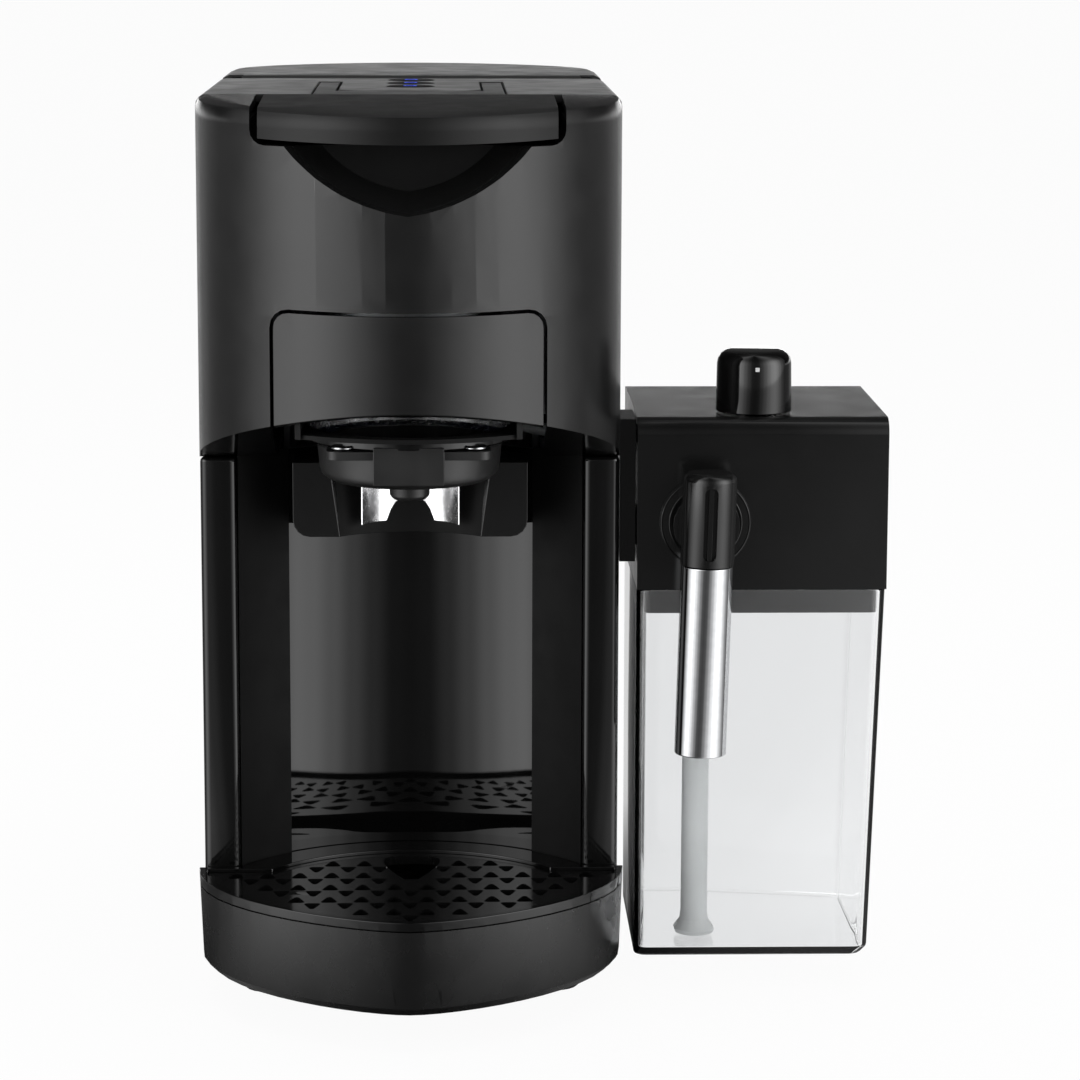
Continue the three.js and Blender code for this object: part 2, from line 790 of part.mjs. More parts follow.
const rockerX = 15;
const rockerHalfWidth = 6.5;
const rockerHalfHeight = 10;

function rockerFrame() {
  const y0 = tailEnd - shellWall - pocketDepth + seam;
  const middleZ = pocketBottom + pocketHeight / 2;
  const edge = 1.8;
  const outer = roundedRectangle(rockerX - rockerHalfWidth - edge, rockerX + rockerHalfWidth + edge,
    middleZ - rockerHalfHeight - edge, middleZ + rockerHalfHeight + edge, 1.5);
  const room = roundedRectangle(rockerX - rockerHalfWidth - slip, rockerX + rockerHalfWidth + slip,
    middleZ - rockerHalfHeight - slip, middleZ + rockerHalfHeight + slip, 0.8);
  return cut(frontal(outer, y0, y0 + 4), frontal(room, y0 + 1, y0 + 5));
}

function rocker() {
  const y0 = tailEnd - shellWall - pocketDepth + seam + 1;
  const middleZ = pocketBottom + pocketHeight / 2;
  const tip = rockerHalfHeight - 0.6;
  const side = [[1.6, -tip], [5.4, -tip], [4.2, 0], [5.4, tip], [1.6, tip], [0.5, 0]];
  const profile = polygon(side.map(([y, z]) => [y0 + y, middleZ + z]));
  return sidelong(profile, rockerX - rockerHalfWidth, rockerX + rockerHalfWidth);
}

function addBackFittings() {
  add("power_module", powerModule(), darkPlastic);
  add("power_rocker", rocker(), darkPlastic);
}

// ------------------------------------------------------------------ lever and buttons
function lever() {
  const bar = both(noseBlock(), box([-leverHalf, leverHalf], [-far, 0], [0, far]),
    leaning((y) => topZ(y) - leverThickness, () => bodyTop + 1));
  const low = bodyTop - leverThickness;
  const webBack = tongueFrontY - swing;
  const web = box([-armOuter, armOuter], [-0.1, webBack], [low, bodyTop]);
  const eye = alongX(rod(leverHingeDrop, 0, armWidth, 20)).translate([0, leverHingeY, leverHingeZ]);
  const beam = box([0, armWidth], [webBack - 1, leverHingeY], [low, bodyTop]);
  const arm = join(eye, beam);
  const reach = frameHalf + seam + cheekWall;
  const pin = alongX(rod(leverPinRadius, armInner + 1, reach, 16)).translate([0, leverHingeY, leverHingeZ]);
  const rightSide = join(arm.translate([armInner, 0, 0]), pin);
  return join(bar, web, rightSide, rightSide.mirror([1, 0, 0]));
}

function button(index) {
  const top = bodyTop + buttonProud;
  const low = top - buttonThickness;
  const stemLow = low - 7;
  const profile = [[0, stemLow], [stemRadius, stemLow], [stemRadius, low], [buttonRadius, low],
    [buttonRadius, top - 0.5], [buttonRadius - 0.6, top], [0, top]];
  return turned(profile).translate([0, buttonY(index), 0]);
}

function lightGuide() {
  const top = bodyTop - shellWall - seam;
  const edge = buttonRadius + 3;
  const plan = roundedRectangle(-edge, edge, buttonY(0) - edge, buttonY(buttonCount - 1) + edge, edge - 1);
  const plate = upright(plan, top - guideThickness, top);
  const holes = [];
  for (let i = 0; i < buttonCount; i += 1) {
    holes.push(rod(stemRadius + slip, 0, far, smallSides).translate([0, buttonY(i), 0]));
  }
  return cut(plate, ...holes);
}

function addLeverAndButtons() {
  add("lever", lever(), satinBlack);
  for (let i = 0; i < buttonCount; i += 1) {
    add("button_" + (i + 1), button(i), glossBlack);
  }
  add("button_light_guide", lightGuide(), blueGlow);
}

// ------------------------------------------------------------------ pod drawer
function drawerFront() {
  const door = both(frontal(doorway(0), -far, -1), leaning(archZ, topZ));
  return both(noseSkin(), door);
}

// Rim plate with the pod's hole, walls that carry the runners and a curved bar behind the front.
function podCarriage() {
  const low = rimTop - rimThickness;
  const rimPlan = both(upright(nosePlan(rimInset, carriageBack), low, rimTop),
    box([-carriageHalf, carriageHalf], [-far, carriageBack], [0, far]));
  const pot = rod(seatRadius + seam, 0, far, 36).translate([0, podY, 0]);
  const wallTop = runnerZ + runnerThickness + 1;
  const wall = box([carriageHalf - carriageWall, carriageHalf], [-far, carriageBack], [low, wallTop]);
  const runner = box([carriageHalf - 1, carriageHalf + runnerReach], [railFront - 2, carriageBack],
    [runnerZ, runnerZ + runnerThickness]);
  const behindFront = upright(nosePlan(shellWall + seam, 1), 0, far);
  const side = join(both(wall, behindFront), runner);
  const reach = box([-carriageHalf, carriageHalf], [-far, railFront], [0, far]);
  const band = both(leaning((y) => archZ(y) + 1, (y) => archZ(y) + barHeight, 1), reach, behindFront);
  const bar = cut(band, upright(nosePlan(shellWall + seam + barThickness, 1), 0, far));
  return join(cut(rimPlan, pot), side, side.mirror([1, 0, 0]), bar);
}

function podSeat() {
  const low = rimTop - seatDepth;
  const throat = low + 1.8;
  const profile = [[seatThroat, low], [seatThroat + 1, low], [seatThroat + 1, throat - 0.8],
    [seatRadius, rimTop - rimThickness], [seatRadius, rimTop], [seatRadius - 1, rimTop], [seatThroat, throat],
    [seatThroat, low]];
  return turned(profile, 36).translate([0, podY, 0]);
}

// Cup under the rim, with the block that stands out at its front and the ears that carry the two pins.
function podHolder() {
  const earTop = rimTop - seatDepth - seam;
  const foot = holderRadius - 0.8;
  const profile = [[0, holderBottom]];
  for (let i = 0; i <= 5; i += 1) {
    const angle = (Math.PI / 2) * (i / 5);
    profile.push([foot - holderRound * (1 - Math.sin(angle)), holderBottom + holderRound * (1 - Math.cos(angle)) * 0.8]);
  }
  profile.push([holderRadius, earTop - 1.5], [holderRadius - 1, earTop], [0, earTop]);
  const bowl = turned(profile, 40);
  const room = turned([[0, holderBottom + 2],
    [holderRadius - holderRound - holderWall, holderBottom + 2],
    [holderRadius - holderWall, holderBottom + holderRound],
    [holderRadius - holderWall, earTop + 1], [0, earTop + 1]], 36).translate([0, podY, 0]);
  const face = podY - holderRadius - holderBlockProud;
  const block = box([-holderBlockHalf, holderBlockHalf], [face, podY - 20],
    [holderBottom + holderBlockRise, earTop]);
  const plate = box([-holderBlockHalf, holderBlockHalf], [face, face + 2.2], [earTop - 1, earTop + 1.6]);
  const earX = podPinX + podPinRadius + 1.5;
  const pinY = podY - podPinReach;
  const ears = upright(roundedRectangle(-earX, earX, pinY - podPinRadius - 1, pinY + 12, 4), earTop - earThickness, earTop);
  const hole = rod(spoutRadius - 2, 0, far, smallSides).translate([0, podY, 0]);
  return cut(join(bowl.translate([0, podY, 0]), block, plate, ears), room, hole);
}

function podPin(side) {
  const low = rimTop - seatDepth;
  const reach = Math.hypot(podPinX, podPinReach) - podPinRadius;
  const slope = (seatDepth - 1.8) / (seatRadius - seatThroat);
  const top = rimTop - rimThickness - seam - (seatRadius - reach) * slope;
  const profile = [[0, low], [podPinRadius, low], [podPinRadius, top - 0.5], [podPinRadius - 0.5, top], [0, top]];
  return turned(profile, 16).translate([side * podPinX, podY - podPinReach, 0]);
}

function spout() {
  const top = holderBottom - seam;
  const profile = [[2, spoutBottom], [spoutRadius - 1.5, spoutBottom], [spoutRadius, spoutBottom + 1.5],
    [spoutRadius, top], [2, top], [2, spoutBottom]];
  return turned(profile, 20).translate([0, podY, 0]);
}

function drawerRail(side) {
  const x0 = carriageHalf + slip;
  const x1 = x0 + railWidth;
  const low = runnerZ - slip;
  const high = runnerZ + runnerThickness + slip;
  const groove = x0 + runnerReach + 0.2;
  const profile = polygon([[x0, railBottom], [x1, railBottom], [x1, railTop], [x0, railTop], [x0, high],
    [groove, high], [groove, low], [x0, low]]);
  const rail = frontal(profile, railFront, railBack);
  return side > 0 ? rail : rail.mirror([1, 0, 0]);
}

function addPodDrawer() {
  add("drawer_front", drawerFront(), satinBlack);
  add("pod_carriage", podCarriage(), darkPlastic);
  add("pod_seat", podSeat(), chrome);
  add("pod_holder", podHolder(), darkPlastic);
  add("pod_pin_left", podPin(-1), chrome);
  add("pod_pin_right", podPin(1), chrome);
  add("spout_nozzle", spout(), darkPlastic);
  add("drawer_rail_left", drawerRail(-1), darkPlastic);
  add("drawer_rail_right", drawerRail(1), darkPlastic);
}

// ------------------------------------------------------------------ inner frame and brew unit
// Two cheeks joined by a web, standing on the base behind the splash wall.
function innerFrame() {
  const x0 = frameHalf + seam;
  const x1 = x0 + cheekWall;
  const earTop = bodyTop - shellWall - seam;
  const outline = polygon([
    [cheekFront, railBottom], [postFront, railBottom], [postFront, floorZ], [webY, floorZ], [webY, cheekTop],
    [leverHingeY + 7, cheekTop], [leverHingeY + 7, earTop], [leverHingeY - 7, earTop], [leverHingeY - 7, cheekTop],
    [cheekFront, cheekTop],
  ]);
  const cheek = sidelong(outline, x0, x1);
  const web = box([-x1, x1], [webY - cheekWall, webY], [floorZ, cheekTop]);
  const bore = alongX(rod(leverPinRadius + seam, -far, far, 16)).translate([0, leverHingeY, leverHingeZ]);
  return cut(join(cheek, cheek.mirror([1, 0, 0]), web), bore, pressureHole());
}

function brewHead() {
  const inner = pistonRadius + slip;
  const profile = [[pistonStem + slip, headTop - headPlate], [inner, headTop - headPlate], [inner, headBottom],
    [headRadius, headBottom], [headRadius, headTop], [pistonStem + slip, headTop],
    [pistonStem + slip, headTop - headPlate]];
  const bell = turned(profile, 32).translate([0, podY, 0]);
  const plate = box([-frameHalf, frameHalf], [podY - 12, podY + 40], [headTop - headPlate, headTop]);
  const room = rod(inner, headBottom - 1, headTop - headPlate, 32).translate([0, podY, 0]);
  const hole = rod(pistonStem + slip, 0, far, 32).translate([0, podY, 0]);
  return cut(join(bell, plate), room, hole);
}

function brewPiston() {
  const top = pistonBottom + pistonHeight;
  const profile = [[0, pistonBottom], [pistonRadius - 4, pistonBottom], [pistonRadius, pistonBottom + 3],
    [pistonRadius, top], [pistonStem, top], [pistonStem, pistonTop], [0, pistonTop]];
  return turned(profile, 32).translate([0, podY, 0]);
}

function thermoblock() {
  const back = webY - cheekWall - seam;
  const block = box([-heaterHalf, heaterHalf], [heaterFrontY, back - 8], [heaterBottom, heaterTop]);
  const boss = (x) => box([x - 5, x + 5], [back - 9, back], [heaterBottom + 8, heaterTop - 8]);
  return join(block, boss(-heaterHalf + 8), boss(heaterHalf - 8));
}

function pump() {
  const barrel = alongX(rod(pumpRadius, -pumpHalf, pumpHalf, 20)).translate([0, pumpY, pumpZ]);
  const sole = box([-pumpHalf + 12, pumpHalf - 12], [pumpY - 14, pumpY + 14], [floorZ, pumpZ]);
  return join(barrel, sole);
}

function controlBoard() {
  const y0 = webY + seam;
  const board = box([-38, 38], [y0 + 6, y0 + 7.6], [80, 170]);
  const posts = [];
  for (const x of [-32, 32]) {
    for (const z of [88, 162]) {
      posts.push(alongY(rod(2.5, 0, 6.5, 8)).translate([x, y0, z]));
    }
  }
  const relay = box([-20, 4], [y0 + 7, y0 + 18], [100, 118]);
  return join(board, relay, ...posts);
}

const pressureX = -12;
const pressureZ = 44;

function pressureHole() {
  return alongY(rod(tubeRadius + slip, 0, pumpY, smallSides)).translate([pressureX, 0, pressureZ]);
}

const bend = 12; // of the tubes

function suctionLine() {
  const top = tankBottom - seatPlate - 2 * seam;
  const middle = (top + pumpZ + pumpRadius) / 2;
  return tube(tubeRadius, bend, [[0, valveY, top], [0, valveY, middle], [0, pumpY, middle],
    [0, pumpY, pumpZ + pumpRadius + seam]], 20);
}

function pressureLine() {
  const start = pumpY - pumpRadius + 0.6;
  const rise = heaterFrontY + 32;
  return tube(tubeRadius, bend, [[pressureX, start, pressureZ], [pressureX, rise, pressureZ],
    [pressureX, rise, heaterBottom - seam]]);
}

function brewLine() {
  const z = (heaterBottom + heaterTop) / 2 + 1;
  return tube(tubeRadius, bend, [[0, heaterFrontY - seam, z], [0, podY + headRadius + seam, z]], 1);
}

function steamLine() {
  const start = [24, heaterFrontY + 12, heaterBottom - seam];
  return tube(tubeRadius, bend, [start, [24, heaterFrontY + 12, steamZ], [57, steamY, steamZ],
    [half - shellWall - seam, steamY, steamZ]], 20);
}

function addInnerParts() {
  add("inner_frame", innerFrame(), steel);
  add("brew_head", brewHead(), aluminium);
  add("brew_piston", brewPiston(), darkPlastic);
  add("thermoblock", thermoblock(), aluminium);
  add("water_pump", pump(), steel);
  add("control_board", controlBoard(), circuitGreen);
  add("suction_line", suctionLine(), milkyPlastic);
  add("pressure_line", pressureLine(), milkyPlastic);
  add("brew_line", brewLine(), milkyPlastic);
  add("steam_line", steamLine(), milkyPlastic);
}

// ------------------------------------------------------------------ drip tray
// Plan of the tray drawn inset inside its outer edge: the rounded front and the part between the columns.
function trayPlan(inset, z0, z1, backInset = inset) {
  const lens = cut(upright(nosePlan(inset, 0, trayShape), z0, z1),
    box([-far, far], [-seam - inset, far], [z0 - 1, z1 + 1]));
  const middleHalf = bayHalf - slip - inset;
  const middle = baySector(bayRadius - slip - backInset, -seam - inset - 1, z0, z1, middleHalf);
  return join(lens, middle);
}

// The same outline with sides that fall inwards to a chamfered bottom edge.
function draftedTray() {
  const low = (trayHalf - trayDraft) / trayHalf;
  const foot = (trayHalf - trayDraft - trayChamfer) / trayHalf;
  const levels = [{ z: trayBottom, x: foot, y: (trayNose - trayChamfer) / trayNose },
    { z: trayBottom + trayChamfer, x: low, y: 1 }, { z: trayTop, x: 1, y: 1 }];
  const lens = cut(lofted(nosePlan(0, 0, trayShape), levels),
    box([-far, far], [-seam, far], [0, far]));
  const middle = baySector(bayRadius - slip, -seam - 1, trayBottom, trayTop, bayHalf - slip);
  return join(lens, middle);
}

// Everything below the line where the gloss rim starts, lowered by a margin.
function belowTrayEdge(margin) {
  const edge = (y) => trayEdgeZ - (trayEdgeRise * Math.min(y, 0)) / trayNose - margin;
  const front = -trayNose - 10;
  return sidelong(polygon([[front, 0], [far, 0], [far, edge(0)], [0, edge(0)], [front, edge(front)]]), -far, far);
}

function dripTray() {
  const solid = both(draftedTray(), belowTrayEdge(0));
  const ledge = gridTop - gridThickness - seam;
  const floor = trayBottom + trayWall;
  const low = trayPlan(trayWall + trayDraft, floor, ledge - ledgeThickness);
  const neck = trayPlan(ledgeReach, floor, ledge + 1);
  const high = trayPlan(trayLip, ledge, trayTop);
  return cut(solid, low, neck, high);
}

function trayRim() {
  const solid = cut(both(draftedTray(), box([-far, far], [-far, far], [trayEdgeZ, trayTop])), belowTrayEdge(-seam));
  const opening = trayPlan(trayLip, 0, far, trayBand);
  return cut(solid, opening);
}

// A three-sided hole with rounded corners, which points forwards or backwards.
function pickHole(x, y, direction) {
  const w = holeWidth / 2;
  const d = (holeDepth / 2) * direction;
  const half = [[0.28, -0.85], [0.62, -0.2], [1, 0.62], [0.9, 0.9], [0.66, 1]];
  const right = half.map(([u, v]) => [x + u * w, y + v * d]);
  const left = half.map(([u, v]) => [x - u * w, y + v * d]).reverse();
  return upright(polygon([[x, y - d], ...right, ...left]), gridTop - gridThickness - 1, gridTop + 1);
}

function wellOutline(margin) {
  const w = wellHalf + margin;
  const front = wellFrontY - margin;
  const back = wellBackY + margin;
  const shape = new THREE.Shape();
  shape.moveTo(-wellTip, front);
  shape.lineTo(wellTip, front);
  shape.quadraticCurveTo(w, back - w, w * 0.9, back - 4);
  shape.quadraticCurveTo(w * 0.8, back, 0, back);
  shape.quadraticCurveTo(-w * 0.8, back, -w * 0.9, back - 4);
  shape.quadraticCurveTo(-w, back - w, -wellTip, front);
  return drawn(shape, cornerSteps * 2);
}

function inNose(x, y, inset) {
  return Math.abs(x) < trayHalf - inset && y < 0 && y > noseFront(x, inset, trayShape);
}

function inMiddle(x, y, inset) {
  const radius = bayRadius - slip - trayBand - holeMargin;
  const inArc = Math.hypot(x, y - bayCentreY) < radius;
  return Math.abs(x) < bayHalf - slip - inset && y > -holeDepth && inArc;
}

function nearWell(x, y) {
  const reach = wellHalf + holeMargin + holeWidth / 2;
  const inside = y > wellFrontY - holeMargin - holeDepth / 2 && y < wellBackY + holeMargin + holeDepth / 2;
  const share = Math.min(1, Math.max(0.35, (y - wellFrontY + holeMargin) / (wellBackY - wellFrontY)));
  return inside && Math.abs(x) < reach * Math.max(share, 0.5);
}

function dripGrid() {
  const plate = trayPlan(trayLip + slip, gridTop - gridThickness, gridTop, trayBand + slip);
  const inset = trayLip + slip + holeMargin + holeWidth / 2;
  const rows = Math.ceil(trayNose / holePitchY);
  const columns = Math.ceil(trayHalf / holePitchX);
  const holes = [upright(wellOutline(0), gridTop - gridThickness - 1, gridTop + 1)];
  for (let row = -rows; row <= rows; row += 1) {
    const direction = row % 2 === 0 ? 1 : -1;
    const y = row * holePitchY;
    for (let column = -columns; column <= columns; column += 1) {
      const x = (column + (row % 2 === 0 ? 0 : 0.5)) * holePitchX;
      if (!nearWell(x, y) && (inNose(x, y, inset) || inMiddle(x, y, inset))) holes.push(pickHole(x, y, direction));
    }
  }
  return cut(plate, ...holes);
}

function levelFloat() {
  const floor = trayBottom + trayWall + seam;
  return upright(wellOutline(-swing), floor, floor + floatHeight);
}

function addDripTray() {
  add("drip_tray", dripTray(), satinBlack);
  add("tray_rim", trayRim(), glossBlack);
  add("drip_grid", dripGrid(), darkPlastic);
  add("level_float", levelFloat(), darkPlastic);
}

// ------------------------------------------------------------------ water tank
function waterTank() {
  const frontY = lidSeamY + seam + shellWall + slip;
  const outer = upright(tailPlan(tankInset, frontY), tankBottom, tankRim);
  const inner = upright(tailPlan(tankInset + tankWall, frontY + tankWall), tankBottom + tankWall, far);
  const outlet = rod(valveStem + seam, 0, far, 20).translate([0, valveY, 0]);
  const x0 = barrelHalf + slip;
  const eye = alongX(rod(lidHingeRadius - seam, x0, x0 + earWidth, 16)).translate([0, lidHingeY, lidHingeZ]);
  const stalk = box([x0, x0 + earWidth], [frontY + 0.2, frontY + 4.5], [tankRim - 8, lidHingeZ]);
  const bore = alongX(rod(lidPinRadius + seam, -far, far, 12)).translate([0, lidHingeY, lidHingeZ]);
  const ear = cut(join(eye, stalk), bore);
  return join(cut(outer, inner, outlet), ear, ear.mirror([1, 0, 0]));
}

function tankLid() {
  const plan = tailPlan(0, lidHingeY);
  const length = tailEnd - lidHingeY;
  const level = (drop, inset) => ({ z: bodyTop - drop, x: (half - inset) / half, y: (length - inset) / length });
  const levels = [level(lidHeight, 0), level(lidChamfer, 0), level(lidChamfer * 0.3, lidChamfer * 0.3),
    level(0, lidChamfer)];
  const shift = new THREE.Shape(plan.getPoints().map((p) => new THREE.Vector2(p.x, p.y - lidHingeY)));
  const cap = lofted(shift, levels).translate([0, lidHingeY, 0]);
  const room = upright(tailPlan(lidWall, lidHingeY + lidHingeRadius), lidBottom - 1, bodyTop - lidWall);
  const barrel = alongX(rod(lidHingeRadius, -barrelHalf, barrelHalf, 20)).translate([0, lidHingeY, lidHingeZ]);
  const cornerX = barrelHalf;
  const cornerDepth = lidHingeY + lidHingeRadius + slip;
  const left = box([-far, -cornerX], [0, cornerDepth], [0, far]);
  const right = box([cornerX, far], [0, cornerDepth], [0, far]);
  const reach = barrelHalf + slip + earWidth;
  const pins = alongX(rod(lidPinRadius, -reach, reach, 12)).translate([0, lidHingeY, lidHingeZ]);
  return join(cut(join(cut(cap, room), barrel), left, right), pins);
}

function tankValve() {
  const floor = tankBottom + tankWall + seam;
  const profile = [[0, tankBottom - 1], [valveStem, tankBottom - 1], [valveStem, floor], [valveHead, floor],
    [valveHead, floor + 2], [0, floor + 4]];
  return turned(profile, 20).translate([0, valveY, 0]);
}

// Shelf that the tank stands on, with a pocket and a pin that opens the valve.
function tankShelf() {
  const top = tankBottom - seam;
  const frontY = lidSeamY + seam + shellWall + seam;
  const shelf = upright(tailPlan(shellWall + seam, frontY), top - seatPlate, top);
  const pocket = rod(8, top - 4.2, top + 1, 20).translate([0, valveY, 0]);
  const pin = rod(2, top - 4.5, tankBottom - 1 - seam, smallSides).translate([0, valveY, 0]);
  return join(cut(shelf, pocket), pin);
}

function addWaterTank() {
  add("water_tank", waterTank(), smoke);
  add("tank_lid", tankLid(), satinTop);
  add("tank_valve", tankValve(), darkPlastic);
  add("tank_shelf", tankShelf(), darkPlastic);
}

// ------------------------------------------------------------------ dock and carafe
function dockRange(margin) {
  return { y: [steamY - lugHalf - margin, steamY + lugHalf + margin],
    z: [lugBottom - margin, lugBottom + lugHeight + margin] };
}

// Bracket on the flank: a lug that carries the carafe and a hole for the steam nozzle.
function dock() {
  const face = carafeLeft - seam;
  const plate = box([half + seam, face], [dockFrontY, dockFrontY + dockWidth], [dockBottom, dockTop]);
  const { y, z } = dockRange(0);
  const lug = box([face - 1, face + lugReach], y, z);
  const hole = alongX(rod(nozzleRadius + slip, 0, far, smallSides)).translate([0, steamY, steamZ]);
  const recess = alongX(rod(6.9, face - 1.5, far, 20)).translate([0, steamY, steamZ]);
  return cut(join(plate, lug), hole, recess);
}

function dockSeal() {
  const face = carafeLeft - seam;
  return alongX(ring(6.5, nozzleRadius + slip, face - 1.2, face, 20)).translate([0, steamY, steamZ]);
}

function steamNozzle() {
  const start = half - shellWall;
  const profile = [[0, start], [nozzleRadius, start], [nozzleRadius, carafeLeft + nozzleReach - 1.5],
    [nozzleRadius - 1, carafeLeft + nozzleReach], [0, carafeLeft + nozzleReach]];
  return alongX(turned(profile, smallSides)).translate([0, steamY, steamZ]);
}

// The carafe's plan, drawn from its front corner at the dock.
function carafeBox(inset, radius) {
  return roundedRectangle(inset, carafeWidth - inset, inset, carafeDepth - inset, radius);
}

function carafeContainer() {
  const top = carafeShoulder - seam;
  const foot = 2.5;
  const share = (z) => carafeTaper + ((1 - carafeTaper) * (z - carafeBottom)) / (top - carafeBottom);
  const level = (z, scale) => ({ z, x: scale, y: scale });
  const edge = carafeTaper - foot / carafeWidth;
  const outer = lofted(carafeBox(0, carafeRound),
    [level(carafeBottom, edge), level(carafeBottom + foot, share(carafeBottom + foot)), level(top, 1)]);
  const floor = carafeBottom + carafeWall;
  const inner = lofted(carafeBox(carafeWall, carafeRound - carafeWall), [level(floor, share(floor)),
    level(top + 1, 1)]);
  return cut(outer, inner).translate([carafeLeft, carafeFrontY, 0]);
}

function lidProfile(inset) {
  const front = carafeFrontY + inset;
  const back = carafeFrontY + carafeDepth - inset;
  const top = carafeTop - inset;
  const radius = lidFrontRound - Math.min(inset, lidFrontRound - 1);
  const shape = new THREE.Shape();
  const low = carafeShoulder - (inset > 0 ? 1 : 0);
  shape.moveTo(front, low);
  shape.lineTo(back, low);
  shape.lineTo(back, top);
  shape.lineTo(front + radius, top);
  shape.absarc(front + radius, top - radius, radius, Math.PI / 2, Math.PI);
  return shape;
}

function carafeLid() {
  const wall = carafeLidWall;
  const right = carafeLeft + carafeWidth;
  const shell = cut(sidelong(lidProfile(0), carafeLeft, right), sidelong(lidProfile(wall), carafeLeft + wall, right - wall));
  const { y, z } = dockRange(slip);
  const lugSocket = box([carafeLeft - 1, carafeLeft + lugReach + slip], y, z);
  const socketWall = box([carafeLeft + 1, carafeLeft + lugReach + slip + 2], [y[0] - 2, y[1] + 2], [z[0] - 2, z[1] + 2]);
  const steamHole = alongX(rod(nozzleRadius + slip, 0, carafeLeft + 20, smallSides)).translate([0, steamY, steamZ]);
  const knobHole = rod(3 + slip, carafeTop - 10, far, smallSides).translate([knobX, knobY, 0]);
  const swivelHole = alongY(rod(5 + slip, -30, 30, 16)).translate([swivelX, 0, swivelZ]);
  const frontHole = both(swivelHole, box([0, far], [-30, 4], [0, far]));
  return join(cut(join(shell, socketWall), lugSocket, steamHole, knobHole, frontHole), swivelCollar());
}

// Block inside the lid where steam, milk and air meet.
function frothChamber() {
  const top = carafeTop - carafeLidWall - seam;
  const low = swivelZ - 12;
  const front = carafeFrontY + carafeLidWall + seam;
  const block = cut(box([swivelX - 10, knobX + 10], [front, 34], [low, top]),
    box([0, far], [front - 1, front + lidFrontRound - carafeLidWall], [top - lidFrontRound + carafeLidWall, far]));
  const inletArm = alongX(rod(5.2, carafeLeft + carafeLidWall + seam, swivelX, 16)).translate([0, steamY, steamZ]);
  const inlet = alongX(rod(nozzleRadius + slip, 0, carafeLeft + nozzleReach + 2, smallSides)).translate([0, steamY, steamZ]);
  const knobBore = rod(3 + slip, carafeTop - 22, far, smallSides).translate([knobX, knobY, 0]);
  const swivelBore = alongY(rod(5 + slip, -30, front + 9, 16)).translate([swivelX, 0, swivelZ]);
  const hoseBore = rod(suctionRadius + seam, 0, low + 8, 16).translate([suctionX, suctionY, 0]);
  return cut(join(block, inletArm), inlet, knobBore, swivelBore, hoseBore);
}

// Shallow dish under the lid that plugs the container's mouth.
function lidInsert() {
  const low = carafeShoulder - insertDepth;
  const plug = upright(carafeBox(carafeWall + slip, 2.5), low, carafeShoulder - seam);
  const rimPlate = upright(carafeBox(carafeLidWall + seam, 2.5), carafeShoulder - seam, carafeShoulder + 3);
  const room = upright(carafeBox(carafeLidWall + insertWall + 2, 2), low + insertWall, far);
  const holed = cut(join(plug, rimPlate), room).translate([carafeLeft, carafeFrontY, 0]);
  const collar = rod(suctionRadius + 3, low, low + 6, 16).translate([suctionX, suctionY, 0]);
  return cut(join(holed, collar), rod(suctionRadius + seam, 0, far, 16).translate([suctionX, suctionY, 0]));
}

function suctionTube() {
  const low = carafeBottom + carafeWall + suctionClear;
  const top = swivelZ - 12 + 7;
  const profile = [[2.6, low], [suctionFoot - 0.6, low], [suctionFoot, low + 1.5], [suctionRadius + 0.4, low + 5],
    [suctionRadius, low + 8], [suctionRadius, top], [2.6, top], [2.6, low]];
  const hose = turned(profile, 16);
  const notch = box([-far, far], [-1.6, 1.6], [low - 1, low + 3]);
  return cut(hose, notch).translate([suctionX, suctionY, 0]);
}

function frothKnob() {
  const low = carafeTop + seam;
  const top = low + knobHeight;
  const profile = [[0, low - 12], [3, low - 12], [3, low], [knobRadius, low], [knobRadius - 0.3, top - knobFillet]];
  for (let i = 1; i <= 4; i += 1) {
    const angle = (Math.PI / 2) * (i / 4);
    profile.push([knobRadius - 0.3 - knobFillet * (1 - Math.cos(angle)), top - knobFillet * (1 - Math.sin(angle))]);
  }
  profile.push([0, top]);
  return turned(profile).translate([knobX, knobY, 0]);
}

function swivelCollar() {
  const face = carafeFrontY;
  return alongY(ring(collarRadius, collarBore, face - collarProud, face + 1, 32)).translate([swivelX, 0, swivelZ]);
}

// The outlet's turning parts, drawn about the swivel's axis.
function elbow() {
  const top = elbowTop;
  const profile = [[0, -elbowBottom], [elbowRadius, -elbowBottom]];
  for (let i = 0; i <= 4; i += 1) {
    const angle = (Math.PI / 2) * (i / 4);
    profile.push([elbowRadius - elbowFillet * (1 - Math.cos(angle)), top - elbowFillet * (1 - Math.sin(angle))]);
  }
  profile.push([0, top]);
  const body = turned(profile, 32).translate([0, lanceY, 0]);
  const hub = alongY(rod(collarBore - slip, elbowBackY - 1.5, carafeFrontY - seam, 24));
  const neck = alongY(rod(elbowRadius - 1, lanceY, elbowBackY, 24));
  const shaft = alongY(rod(5, elbowBackY - 2, carafeFrontY + carafeLidWall + 8, 16));
  const slot = frontal(roundedRectangle(-elbowGroove, elbowGroove, -elbowBottom + 2.5, top - 4.5, elbowGroove - 0.2),
    elbowFrontY - 1, elbowFrontY + 2.6);
  const rib = box([-elbowRib, elbowRib], [elbowFrontY + 1, elbowFrontY + 4], [-elbowBottom + 1, top - elbowFillet]);
  const low = -elbowBottom - sleeveLength + 2;
  const pipe = ring(sleeveRadius - sleeveWall - 0.8, 3.5, low, -1, 16).translate([0, lanceY, 0]);
  const bore = rod(3.5, -far, -2, 16).translate([0, lanceY, 0]);
  return cut(join(cut(join(body, hub, neck, shaft, pipe), slot), rib), bore);
}

function outletSleeve() {
  const top = -elbowBottom - seam;
  return ring(sleeveRadius, sleeveRadius - sleeveWall, top - sleeveLength, top).translate([0, lanceY, 0]);
}

